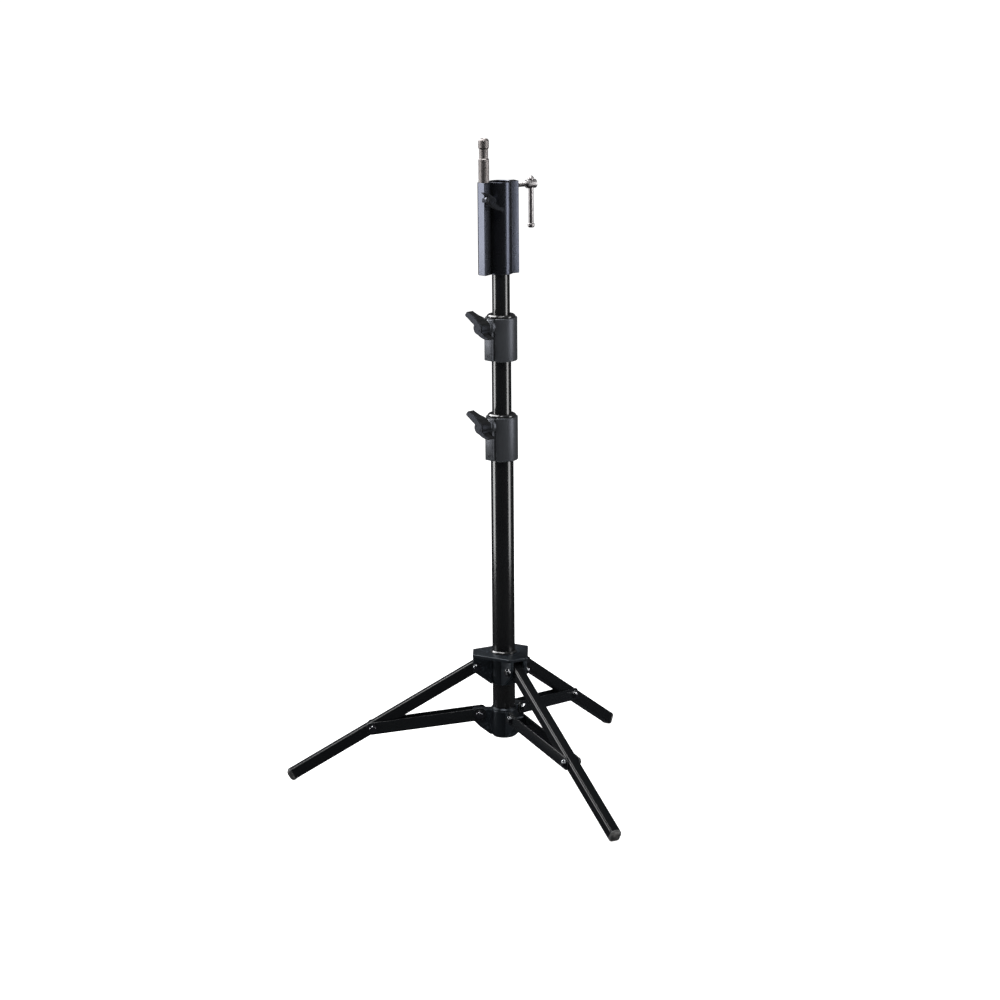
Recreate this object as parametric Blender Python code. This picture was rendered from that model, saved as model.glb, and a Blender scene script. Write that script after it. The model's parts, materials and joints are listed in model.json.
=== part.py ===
"""Combo light stand: three folding legs, two sliding risers and a combination head.

Everything is built round the mast, with the floor at z = 0. An arm's azimuth is measured from +X,
and its own frame has X running outward, Y across the arm and Z up.
"""

import math

import bmesh
import bpy
from mathutils import Matrix, Vector

MM = 0.001

# Fits and facets
CLEARANCE = 0.3 * MM
SIDES = 28
SMALL_SIDES = 12
SCREW_SIDES = 14
ROD_SIDES = 20
CORNER_STEPS = 3

# Legs
LEG_AZIMUTHS = (180.0, -60.0, 60.0)
LEG_SLOPE = math.radians(31.29)
LEG_WIDTH = 17.0 * MM
LEG_DEPTH = 18.0 * MM
LEG_CORNER = 3.0 * MM
LEG_WALL = 1.5 * MM
LEG_REACH = 344.5 * MM
LEG_TAIL = 11.0 * MM
FOOT_LENGTH = 5.5 * MM
FOOT_BULGE = 2.6 * MM
FOOT_OVERHANG = 0.7 * MM
FOOT_CORNER = 4.2 * MM
FOOT_SPIGOT = 16.0 * MM
FOOT_NOSE = ((2.4 * MM, 0.0), (1.0 * MM, 1.2 * MM), (0.0, 3.6 * MM))

# Leg hub, which slides on the lower tube
HUB_PIVOT_RADIUS = 41.8 * MM
HUB_PLATE_ABOVE_PIVOT = 16.3 * MM
HUB_PLATE = 5.0 * MM
HUB_SIDE_INRADIUS = 37.8 * MM
HUB_END_INRADIUS = 47.9 * MM
HUB_CORNER = 2.0 * MM
HUB_SLEEVE_WALL = 4.5 * MM
HUB_SLEEVE_FOOT_WALL = 2.5 * MM
HUB_SLEEVE_BELOW_PIVOT = 27.5 * MM
HUB_CHEEK = 6.0 * MM
HUB_CHEEK_DROP = 6.5 * MM
HUB_EDGE = 1.0 * MM
LEG_SLOT_GAP = 0.4 * MM

# Hub locking knob
KNOB_AZIMUTH = 120.0
KNOB_BELOW_PIVOT = 4.0 * MM
KNOB_BOSS_RADIUS = 8.5 * MM
KNOB_BOSS_END = 31.0 * MM
KNOB_RADIUS = 12.5 * MM
KNOB_LENGTH = 26.0 * MM
KNOB_LOBES = 6
KNOB_LOBE_DEPTH = 0.14
KNOB_PROFILE = ((0.0, 0.62), (0.32, 0.62), (0.44, 1.0), (0.92, 1.0), (1.0, 0.85))
KNOB_SCREW_SHARE = 0.77

# Braces and the collar that carries them at the mast's foot
BRACE_PIVOT_RADIUS = 38.1 * MM
BRACE_PIVOT_HEIGHT = 109.0 * MM
BRACE_JOINT_ALONG_LEG = 191.4 * MM
BRACE_JOINT_DROP = 1.5 * MM
STRAP_THICKNESS = 1.8 * MM
STRAP_DEPTH = 19.5 * MM
STRAP_END = 10.5 * MM
COLLAR_BELOW_PIVOT = 34.5 * MM
COLLAR_ABOVE_PIVOT = 7.5 * MM
COLLAR_WALL = 3.5 * MM
COLLAR_FOOT_WALL = 2.1 * MM
COLLAR_EDGE = 2.0 * MM
COLLAR_LUG_BEYOND_PIVOT = 11.9 * MM
COLLAR_LUG_BELLY = 12.0 * MM
COLLAR_LUG_RISE = 14.0 * MM
COLLAR_LUG_NOSE = 8.0 * MM
COLLAR_LUG_ROUNDS = (0.0, 0.0, 12.0 * MM, 6.0 * MM, 5.0 * MM, 0.0)

# Pivot bolts
BOLT_RADIUS = 3.0 * MM
WASHER_RADIUS = 6.75 * MM
WASHER_THICKNESS = 1.4 * MM
BOLT_HEAD_ACROSS = 10.0 * MM
BOLT_HEAD_HEIGHT = 4.0 * MM

# Rings that line and cap the sliding joints
LIP_WALL = 2.9 * MM
LIP_HEIGHT = 4.0 * MM
LIP_ROUND = 2.4 * MM
RING_SEAT_WALL = 1.1 * MM
RING_SEAT_DEPTH = 4.0 * MM

# Mast tubes
LOWER_TUBE_RADIUS = 17.5 * MM
LOWER_TUBE_WALL = 1.8 * MM
LOWER_TUBE_RECESS = 1.5 * MM
MID_TUBE_RADIUS = 14.9 * MM
MID_TUBE_WALL = 1.1 * MM
MID_TUBE_LENGTH = 543.2 * MM
TOP_TUBE_RADIUS = 13.5 * MM
TOP_TUBE_WALL = 1.2 * MM
TOP_TUBE_ABOVE_MID_TUBE = 76.0 * MM
PLUG_FLANGE = 3.0 * MM
PLUG_SPIGOT = 6.0 * MM

# Riser collars, and how much of each riser shows
LOWER_COLLAR_TOP = 582.3 * MM
LOWER_COLLAR_HEIGHT = 67.9 * MM
MID_RISER_SHOWING = 86.4 * MM
UPPER_COLLAR_HEIGHT = 66.5 * MM
TOP_RISER_SHOWING = 65.8 * MM
RISER_COLLAR_WALL = 7.0 * MM
RISER_COLLAR_EDGE = 1.6 * MM
TUBE_SEAT_BELOW_TOP = 22.0 * MM
CLAMP_AZIMUTH = 226.0
CLAMP_BELOW_TOP = 12.3 * MM
PAD_HALF_WIDTH = 8.0 * MM
PAD_PROUD = 1.5 * MM
PAD_CORNER = 1.5 * MM
BOSS_RADIUS = 8.5 * MM
BOSS_PROUD = 12.0 * MM
BOSS_FOOT_RADIUS = 11.0 * MM
BOSS_FOOT_HEIGHT = 2.5 * MM
BOSS_EDGE = 0.6 * MM
SCREW_EDGE = 0.4 * MM
CLAMP_SCREW_RADIUS = 4.0 * MM
SHOE_THICKNESS = 2.2 * MM
SET_SCREW_RADIUS = 2.5 * MM
SET_SCREW_ABOVE_BOTTOM = 9.0 * MM
SET_SCREW_PROUD = 0.5 * MM

# Wing levers: a round body with a square-ended arm and a pointed arm. The body's outline and the
# arms' sections are shares of these sizes: (radius, drop) and (reach, width, thickness).
LEVER_BODY_RADIUS = 9.5 * MM
LEVER_BODY_LENGTH = 11.7 * MM
LEVER_LONG_ARM = 28.8 * MM
LEVER_LONG_ARM_WIDTH = 7.7 * MM
LEVER_SHORT_ARM = 26.4 * MM
LEVER_SHORT_ARM_WIDTH = 6.2 * MM
LEVER_ARM_ROOT = 10.0 * MM
LEVER_ARM_START = 3.0 * MM
LEVER_ARM_THICKNESS = 10.5 * MM
LEVER_ARM_DROP = 0.4 * MM
LEVER_CORNER = 1.0 * MM
LEVER_CROWN = ((1.0, 0.31), (0.86, 0.13), (0.5, 0.03), (0.36, 0.02), (0.32, 0.09), (0.1, 0.09))
LEVER_SCREW_COVER = 4.0 * MM
SHORT_ARM_SECTIONS = ((0.55, 1.28, 0.45), (0.9, 0.45, 0.38), (1.0, 0.19, 0.25))
LEVER_LONG_ANGLE = 138.7
LEVER_SHORT_ANGLE = -31.0

# Combination head: a receiver barrel with a stud barrel on one side and a screw boss on the other
HEAD_YAW = 28.0
HEAD_HEIGHT = 139.5 * MM
HEAD_RADIUS = 18.0 * MM
HEAD_EDGE = 0.6 * MM
HEAD_SOCKET_DEPTH = 40.5 * MM
HEAD_SHOULDER_THICKNESS = 3.5 * MM
HEAD_SHOULDER_RADIUS = 11.5 * MM
RECEIVER_RADIUS = 14.4 * MM
STUD_BARREL_RADIUS = 9.75 * MM
STUD_BARREL_OFFSET = 27.2 * MM
STUD_BARREL_WEB = 6.5 * MM
SCREW_RIB_HALF_WIDTH = 8.0 * MM
SCREW_RIB_REACH = 27.8 * MM
SCREW_RIB_CORNER = 1.5 * MM
HEAD_SET_SCREW_ABOVE_BOTTOM = 17.0 * MM

# Stud and its clamp
STUD_RADIUS = 8.0 * MM
STUD_LENGTH = 125.8 * MM
STUD_ABOVE_HEAD = 65.3 * MM
STUD_NECK_RADIUS = 6.75 * MM
STUD_NECK_BELOW_TIP = 13.8 * MM
STUD_NECK_LENGTH = 15.7 * MM
STUD_DOME = 3.6 * MM
STUD_TIP_RADIUS = 3.0 * MM
STUD_CHAMFER = 1.0 * MM
STUD_CLAMP_BELOW_TOP = 25.5 * MM
STUD_BOSS_RADIUS = 6.5 * MM
STUD_BOSS_END = 18.6 * MM
STUD_SCREW_RADIUS = 3.0 * MM
STUD_LEVER_SCALE = 0.78
STUD_LEVER_LONG_ANGLE = -37.8
STUD_LEVER_SHORT_ANGLE = 139.9

# Receiver screw with its sliding tommy bar
T_SCREW_BELOW_TOP = 7.0 * MM
T_SCREW_RADIUS = 4.0 * MM
T_SCREW_SHOWING = 16.2 * MM
T_HUB_RADIUS = 6.75 * MM
T_HUB_LENGTH = 16.0 * MM
T_EDGE = 0.8 * MM
BAR_RADIUS = 3.9 * MM
BAR_DROP = 63.9 * MM
BAR_END_COVER = 2.0 * MM
BAR_KNOB_RADIUS = 5.2 * MM
BAR_KNOB_HEIGHT = 6.5 * MM
BAR_KNOB_SEAT = 0.5 * MM

# How far a cutter runs past what it cuts
OVERSHOOT = 5.0 * MM

# Radii and heights that follow from the sizes above
HUB_SLEEVE_RADIUS = LOWER_TUBE_RADIUS + HUB_SLEEVE_WALL
HUB_SLEEVE_FOOT_RADIUS = LOWER_TUBE_RADIUS + HUB_SLEEVE_FOOT_WALL
COLLAR_RADIUS = LOWER_TUBE_RADIUS + COLLAR_WALL
COLLAR_FOOT_RADIUS = LOWER_TUBE_RADIUS + COLLAR_FOOT_WALL
COLLAR_LUG_REACH = BRACE_PIVOT_RADIUS + COLLAR_LUG_BEYOND_PIVOT
COLLAR_BOTTOM = BRACE_PIVOT_HEIGHT - COLLAR_BELOW_PIVOT
COLLAR_TOP = BRACE_PIVOT_HEIGHT + COLLAR_ABOVE_PIVOT
LOWER_TUBE_BOTTOM = COLLAR_BOTTOM + LOWER_TUBE_RECESS
LIP_RADIUS = LOWER_TUBE_RADIUS + LIP_WALL
RING_SEAT_RADIUS = LOWER_TUBE_RADIUS + RING_SEAT_WALL
LOWER_COLLAR_BOTTOM = LOWER_COLLAR_TOP - LOWER_COLLAR_HEIGHT
UPPER_COLLAR_BOTTOM = LOWER_COLLAR_TOP + MID_RISER_SHOWING
UPPER_COLLAR_TOP = UPPER_COLLAR_BOTTOM + UPPER_COLLAR_HEIGHT
RISER_COLLAR_RADIUS = LOWER_TUBE_RADIUS + RISER_COLLAR_WALL
PAD_FACE = RISER_COLLAR_RADIUS + PAD_PROUD
BOSS_END = PAD_FACE + BOSS_PROUD
LOWER_TUBE_TOP = LOWER_COLLAR_TOP - TUBE_SEAT_BELOW_TOP
MID_TUBE_TOP = UPPER_COLLAR_TOP - TUBE_SEAT_BELOW_TOP
MID_TUBE_BOTTOM = MID_TUBE_TOP - MID_TUBE_LENGTH
HEAD_BOTTOM = UPPER_COLLAR_TOP + TOP_RISER_SHOWING
HEAD_TOP = HEAD_BOTTOM + HEAD_HEIGHT
HEAD_SHOULDER = HEAD_BOTTOM + HEAD_SOCKET_DEPTH
HEAD_SET_SCREW_HEIGHT = HEAD_BOTTOM + HEAD_SET_SCREW_ABOVE_BOTTOM
TOP_TUBE_TOP = HEAD_SHOULDER - CLEARANCE
TOP_TUBE_BOTTOM = MID_TUBE_BOTTOM + TOP_TUBE_ABOVE_MID_TUBE
STUD_TOP = HEAD_TOP + STUD_ABOVE_HEAD
STUD_BOTTOM = STUD_TOP - STUD_LENGTH
STUD_NECK_TOP = STUD_TOP - STUD_NECK_BELOW_TIP
STUD_NECK_BOTTOM = STUD_NECK_TOP - STUD_NECK_LENGTH
STUD_CLAMP_HEIGHT = HEAD_TOP - STUD_CLAMP_BELOW_TOP
T_SCREW_HEIGHT = HEAD_TOP - T_SCREW_BELOW_TOP
T_HUB_START = SCREW_RIB_REACH + T_SCREW_SHOWING

# Positions in the linkage
SLOPE_COS = math.cos(LEG_SLOPE)
SLOPE_SIN = math.sin(LEG_SLOPE)
HUB_PIVOT_HEIGHT = LEG_REACH * SLOPE_SIN + LEG_DEPTH / 2 * SLOPE_COS
HUB_PLATE_BOTTOM = HUB_PIVOT_HEIGHT + HUB_PLATE_ABOVE_PIVOT
HUB_TOP = HUB_PLATE_BOTTOM + HUB_PLATE
JOINT_RADIUS = HUB_PIVOT_RADIUS + BRACE_JOINT_ALONG_LEG * SLOPE_COS - BRACE_JOINT_DROP * SLOPE_SIN
JOINT_HEIGHT = HUB_PIVOT_HEIGHT - BRACE_JOINT_ALONG_LEG * SLOPE_SIN - BRACE_JOINT_DROP * SLOPE_COS
BRACE_LENGTH = math.hypot(JOINT_RADIUS - BRACE_PIVOT_RADIUS, BRACE_PIVOT_HEIGHT - JOINT_HEIGHT)
BRACE_SLOPE = math.asin((BRACE_PIVOT_HEIGHT - JOINT_HEIGHT) / BRACE_LENGTH)
STRAP_INNER_FACE = LEG_WIDTH / 2 + CLEARANCE
STRAP_OUTER_FACE = STRAP_INNER_FACE + STRAP_THICKNESS
BOLT_HOLE_RADIUS = BOLT_RADIUS + CLEARANCE
SLOT_HALF = LEG_WIDTH / 2 + LEG_SLOT_GAP
CHEEK_OUTER = SLOT_HALF + HUB_CHEEK

# The folded position: legs upright, braces upright, hub raised
FOLDED_JOINT_RADIUS = HUB_PIVOT_RADIUS - BRACE_JOINT_DROP
FOLDED_LEAN = math.acos((FOLDED_JOINT_RADIUS - BRACE_PIVOT_RADIUS) / BRACE_LENGTH)
HUB_TRAVEL = (
    BRACE_PIVOT_HEIGHT + BRACE_LENGTH * math.sin(FOLDED_LEAN) + BRACE_JOINT_ALONG_LEG - HUB_PIVOT_HEIGHT
)
LEG_SWING = math.degrees(math.pi / 2 - LEG_SLOPE)
BRACE_SWING = math.degrees(FOLDED_LEAN + BRACE_SLOPE)


def paint(name, colour, roughness, metallic=0.0):
    """One Principled material."""
    made = bpy.data.materials.new(name)
    made.use_nodes = True
    shader = made.node_tree.nodes["Principled BSDF"]
    shader.inputs["Base Color"].default_value = (*colour, 1.0)
    shader.inputs["Roughness"].default_value = roughness
    shader.inputs["Metallic"].default_value = metallic
    made.diffuse_color = (*colour, 1.0)
    return made


FINISHES = {
    "gloss_black": ((0.012, 0.012, 0.013), 0.25, 0.0),
    "satin_black": ((0.030, 0.030, 0.033), 0.45, 0.0),
    "lever_black": ((0.035, 0.035, 0.040), 0.40, 0.0),
    "plastic_black": ((0.020, 0.020, 0.021), 0.35, 0.0),
    "rubber_black": ((0.018, 0.018, 0.018), 0.75, 0.0),
    "zinc": ((0.75, 0.76, 0.78), 0.30, 1.0),
    "chrome": ((0.85, 0.85, 0.87), 0.10, 1.0),
    "brass": ((0.70, 0.52, 0.22), 0.35, 1.0),
}


def solid(name, bm, finish):
    """Turn a bmesh into a named object with its own material and smooth round faces."""
    bmesh.ops.recalc_face_normals(bm, faces=bm.faces)
    mesh = bpy.data.meshes.new(name)
    bm.to_mesh(mesh)
    bm.free()
    mesh.shade_smooth()
    mesh.set_sharp_from_angle(angle=math.radians(35))
    mesh.materials.append(paint(name + "_" + finish, *FINISHES[finish]))
    made = bpy.data.objects.new(name, mesh)
    bpy.context.collection.objects.link(made)
    return made


def skinned(rings, hollow=False):
    """Join matching rings of points into a closed skin; a hollow one runs back to its first ring."""
    bm = bmesh.new()
    loops = [[bm.verts.new(point) for point in ring] for ring in rings]
    pairs = list(zip(loops, loops[1:]))
    if hollow:
        pairs.append((loops[-1], loops[0]))
    for first, second in pairs:
        for i in range(len(first)):
            j = (i + 1) % len(first)
            bm.faces.new((first[i], first[j], second[j], second[i]))
    if not hollow:
        bm.faces.new(loops[0])
        bm.faces.new(loops[-1])
    return bm


def circle(radius, height, sides=SIDES):
    """A ring of points round Z."""
    step = math.tau / sides
    angles = [i * step for i in range(sides)]
    return [Vector((radius * math.cos(a), radius * math.sin(a), height)) for a in angles]


def turned(outline, hollow=False, sides=SIDES):
    """A piece turned on Z from (radius, height) points."""
    return skinned([circle(radius, height, sides) for radius, height in outline], hollow)


def rod(radius, low, high, sides=SMALL_SIDES, edge=0.0):
    """A round bar along Z with an optional chamfer at each end."""
    if not edge:
        return turned([(radius, low), (radius, high)], sides=sides)
    ends = [(radius - edge, low), (radius, low + edge), (radius, high - edge), (radius - edge, high)]
    return turned(ends, sides=sides)


def rounded(corners, radii, steps=CORNER_STEPS):
    """A flat outline of (u, v) points with an arc of the given radius at each corner."""
    count = len(corners)
    outline = []
    for i, corner in enumerate(corners):
        here = Vector(corner)
        back = (Vector(corners[i - 1]) - here).normalized()
        ahead = (Vector(corners[(i + 1) % count]) - here).normalized()
        radius = radii[i] if isinstance(radii, (list, tuple)) else radii
        if radius <= 0:
            outline.append(here)
            continue
        half = math.acos(max(-1.0, min(1.0, back.dot(ahead)))) / 2
        centre = here + (back + ahead).normalized() * radius / math.sin(half)
        start = here + back * radius / math.tan(half) - centre
        end = here + ahead * radius / math.tan(half) - centre
        sweep = start.angle_signed(end)
        for k in range(steps + 1):
            turn = -sweep * k / steps
            cos, sin = math.cos(turn), math.sin(turn)
            outline.append(centre + Vector((start.x * cos - start.y * sin, start.x * sin + start.y * cos)))
    return outline


def box_ring(half_width, half_depth, corner, along, centre=0.0, steps=CORNER_STEPS):
    """A rounded rectangle across X at a distance along it."""
    corners = [(-half_width, -half_depth), (half_width, -half_depth), (half_width, half_depth),
               (-half_width, half_depth)]
    return [Vector((along, v.x, v.y + centre)) for v in rounded(corners, corner, steps)]


def slab(outline, low, high, edge=0.0):
    """An outline in XY raised along Z, with its upper and lower rims chamfered."""
    bm = skinned([[Vector((v[0], v[1], z)) for v in outline] for z in (low, high)])
    if edge:
        rims = [e for e in bm.edges if abs(e.verts[0].co.z - e.verts[1].co.z) < 1e-7]
        bmesh.ops.bevel(bm, geom=rims, offset=edge, segments=1, affect="EDGES")
    return bm


def moved(bm, matrix):
    """The same bmesh after a move or a turn."""
    bmesh.ops.transform(bm, matrix=matrix, verts=bm.verts)
    return bm


def gathered(pieces):
    """Several separate bmeshes as one, for a joint cut or union."""
    whole = bmesh.new()
    for piece in pieces:
        mesh = bpy.data.meshes.new("gathered")
        bmesh.ops.recalc_face_normals(piece, faces=piece.faces)
        piece.to_mesh(mesh)
        piece.free()
        whole.from_mesh(mesh)
        bpy.data.meshes.remove(mesh)
    return whole


def upright(azimuth, radius=0.0, height=0.0):
    """The frame of an arm: X outward, Z up."""
    out = Matrix.Rotation(math.radians(azimuth), 4, "Z")
    return out @ Matrix.Translation((radius, 0.0, height))


def facing(azimuth, height=0.0):
    """The frame of a piece that points outward: Z outward, Y up."""
    turn = Matrix.Rotation(math.radians(azimuth) + math.pi / 2, 4, "Z")
    return Matrix.Translation((0.0, 0.0, height)) @ turn @ Matrix.Rotation(math.pi / 2, 4, "X")


def across():
    """Z turned to point along Y."""
    return Matrix.Rotation(-math.pi / 2, 4, "X")


def operate(target, kind, *tools):
    """Cut or join with Boolean modifiers whose tool objects stay hidden."""
    for bm in tools:
        count = len(target.modifiers)
        tool = solid(f"{target.name}_{kind.lower()}_tool_{count + 1}", bm, "zinc")
        tool.hide_render = True
        tool.display_type = "WIRE"
        tool.parent = target
        change = target.modifiers.new(f"{kind.lower()}_{count + 1}", "BOOLEAN")
        change.operation = kind
        change.solver = "EXACT"
        change.object = tool


def axis(name, parent, matrix):
    """An empty that carries what turns or slides together."""
    made = bpy.data.objects.new(name, None)
    made.empty_display_size = 0.02
    bpy.context.collection.objects.link(made)
    made.parent = parent
    made.matrix_local = matrix
    return made


def put(made, parent, matrix=None):
    """Hang a piece on its axis."""
    made.parent = parent
    made.matrix_local = matrix if matrix else Matrix.Identity(4)
    return made


def hexagon(across_flats, low, high):
    return turned([(across_flats / math.sqrt(3), low), (across_flats / math.sqrt(3), high)], sides=6)


def pivot_bolt(name, grip, finish="zinc"):
    """A bolt along Z through +-grip, with a washer and a hexagon at each end."""
    made = solid(name, rod(BOLT_RADIUS, -grip - WASHER_THICKNESS, grip + WASHER_THICKNESS), finish)
    for side in (-1, 1):
        face = grip + CLEARANCE
        ends = sorted((side * face, side * (face + WASHER_THICKNESS)))
        operate(made, "UNION", rod(WASHER_RADIUS, *ends, sides=SCREW_SIDES))
        start = face + WASHER_THICKNESS / 2
        ends = sorted((side * start, side * (face + WASHER_THICKNESS + BOLT_HEAD_HEIGHT)))
        operate(made, "UNION", hexagon(BOLT_HEAD_ACROSS, *ends))
    return made


def joint_bolt(name, start, face):
    """Half of the pivot between brace and leg: a short shank with its washer and head, along Z."""
    made = solid(name, rod(BOLT_RADIUS, start, face + CLEARANCE + WASHER_THICKNESS), "zinc")
    seat = face + CLEARANCE
    operate(made, "UNION", rod(WASHER_RADIUS, seat, seat + WASHER_THICKNESS, sides=SCREW_SIDES))
    top = seat + WASHER_THICKNESS + BOLT_HEAD_HEIGHT
    operate(made, "UNION", hexagon(BOLT_HEAD_ACROSS, seat + WASHER_THICKNESS / 2, top))
    return made


def tube(name, radius, wall, low, high, finish="gloss_black"):
    inner = radius - wall
    outline = [(radius, low), (radius, high), (inner, high), (inner, low)]
    return solid(name, turned(outline, hollow=True), finish)


def tube_plug(name, flange_radius, bore_radius, tube_bottom):
    """A guide pressed into a tube's lower end; its flange rides in the tube outside."""
    spigot = bore_radius - CLEARANCE
    top = tube_bottom + PLUG_SPIGOT
    seat = tube_bottom - CLEARANCE
    outer = [(flange_radius, seat - PLUG_FLANGE), (flange_radius, seat), (spigot, seat), (spigot, top)]
    return solid(name, turned(outer), "plastic_black")


def lip_ring(name, bore_radius, seat):
    """A glossy ring seated in a casting's top, with a rounded lip round the tube."""
    sleeve = RING_SEAT_RADIUS - CLEARANCE
    low = seat - RING_SEAT_DEPTH + CLEARANCE
    under = seat + CLEARANCE
    top = seat + LIP_HEIGHT
    outline = [(bore_radius, low), (sleeve, low), (sleeve, under), (LIP_RADIUS, under)]
    for k in range(CORNER_STEPS):
        turn = math.pi / 2 * k / (CORNER_STEPS - 1)
        outline.append((LIP_RADIUS - LIP_ROUND * (1 - math.cos(turn)),
                        top - LIP_ROUND * (1 - math.sin(turn))))
    outline.append((bore_radius, top))
    return solid(name, turned(outline, hollow=True), "plastic_black")


def leg(number, azimuth, hub):
    """A leg and its rubber foot on their own pivot."""
    pivot = axis(f"leg_axis_{number}", hub, upright(azimuth, HUB_PIVOT_RADIUS, HUB_PIVOT_HEIGHT)
                 @ Matrix.Rotation(LEG_SLOPE, 4, "Y"))
    half_width, half_depth = LEG_WIDTH / 2, LEG_DEPTH / 2
    inner = (half_width - LEG_WALL, half_depth - LEG_WALL, LEG_CORNER - LEG_WALL)
    outer = (half_width, half_depth, LEG_CORNER)
    end = LEG_REACH - FOOT_LENGTH
    sections = ((outer, -LEG_TAIL), (outer, end), (inner, end), (inner, -LEG_TAIL))
    rings = [box_ring(*section, along) for section, along in sections]
    made = solid(f"leg_tube_{number}", skinned(rings, hollow=True), "gloss_black")
    holes = [moved(rod(BOLT_HOLE_RADIUS, -LEG_WIDTH, LEG_WIDTH), Matrix.Translation((x, 0.0, z)) @ across())
             for x, z in ((0.0, 0.0), (BRACE_JOINT_ALONG_LEG, -BRACE_JOINT_DROP))]
    operate(made, "DIFFERENCE", gathered(holes))
    put(made, pivot)

    seat = end + CLEARANCE
    head_depth = half_depth + FOOT_OVERHANG
    spigot = (inner[0] - CLEARANCE, inner[1] - CLEARANCE, inner[2])
    tip = LEG_REACH + FOOT_BULGE
    rings = [box_ring(*spigot, seat - FOOT_SPIGOT), box_ring(*spigot, seat)]
    rings.append(box_ring(half_width, head_depth, FOOT_CORNER, seat))
    for before_tip, inset in FOOT_NOSE:
        corner = max(FOOT_CORNER - inset, 1.0 * MM)
        rings.append(box_ring(half_width - inset, head_depth - inset, corner, tip - before_tip))
    bm = skinned(rings)
    up = Vector((-SLOPE_SIN, 0.0, SLOPE_COS))
    whole = list(bm.verts) + list(bm.edges) + list(bm.faces)
    floor = -HUB_PIVOT_HEIGHT * up
    cut = bmesh.ops.bisect_plane(bm, geom=whole, plane_co=floor, plane_no=up, clear_inner=True)
    rim = [e for e in cut["geom_cut"] if isinstance(e, bmesh.types.BMEdge)]
    bmesh.ops.contextual_create(bm, geom=rim)
    put(solid(f"foot_plug_{number}", bm, "rubber_black"), pivot)


def brace(number, azimuth, mast):
    """Twin straps, one on each side of the leg, with the bolt ends that meet it."""
    pivot = axis(f"brace_axis_{number}", mast, upright(azimuth, BRACE_PIVOT_RADIUS, BRACE_PIVOT_HEIGHT)
                 @ Matrix.Rotation(BRACE_SLOPE, 4, "Y"))
    half = STRAP_DEPTH / 2
    low, high = -STRAP_END, BRACE_LENGTH + STRAP_END
    outline = rounded([(low, -half), (high, -half), (high, half), (low, half)], half * 0.82, steps=4)
    for side, label in ((1, "left"), (-1, "right")):
        faces = sorted((-side * STRAP_INNER_FACE, -side * STRAP_OUTER_FACE))
        flat = moved(slab(outline, *faces), across().inverted())
        strap = solid(f"brace_strap_{number}_{label}", flat, "gloss_black")
        holes = []
        for x in (0.0, BRACE_LENGTH):
            hole = rod(BOLT_HOLE_RADIUS, -CHEEK_OUTER, CHEEK_OUTER)
            holes.append(moved(hole, Matrix.Translation((x, 0.0, 0.0)) @ across()))
        operate(strap, "DIFFERENCE", gathered(holes))
        put(strap, pivot)
        bolt = joint_bolt(f"brace_joint_bolt_{number}_{label}", STRAP_INNER_FACE, STRAP_OUTER_FACE)
        turn = across() if side > 0 else across().inverted()
        put(bolt, pivot, Matrix.Translation((BRACE_LENGTH, 0.0, 0.0)) @ turn)


def hub_outline():
    """The plate's six-sided outline: three long sides between the arms and a short end on each arm."""
    sides = []
    for azimuth in LEG_AZIMUTHS:
        sides.append((azimuth % 360, HUB_END_INRADIUS))
        sides.append(((azimuth + 60.0) % 360, HUB_SIDE_INRADIUS))
    sides.sort()
    corners = []
    for i, (turn, distance) in enumerate(sides):
        next_turn, next_distance = sides[(i + 1) % len(sides)]
        a, b = math.radians(turn), math.radians(next_turn)
        spread = math.sin(b - a)
        corners.append(((distance * math.sin(b) - next_distance * math.sin(a)) / spread,
                        (next_distance * math.cos(a) - distance * math.cos(b)) / spread))
    return rounded(corners, HUB_CORNER)


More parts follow.
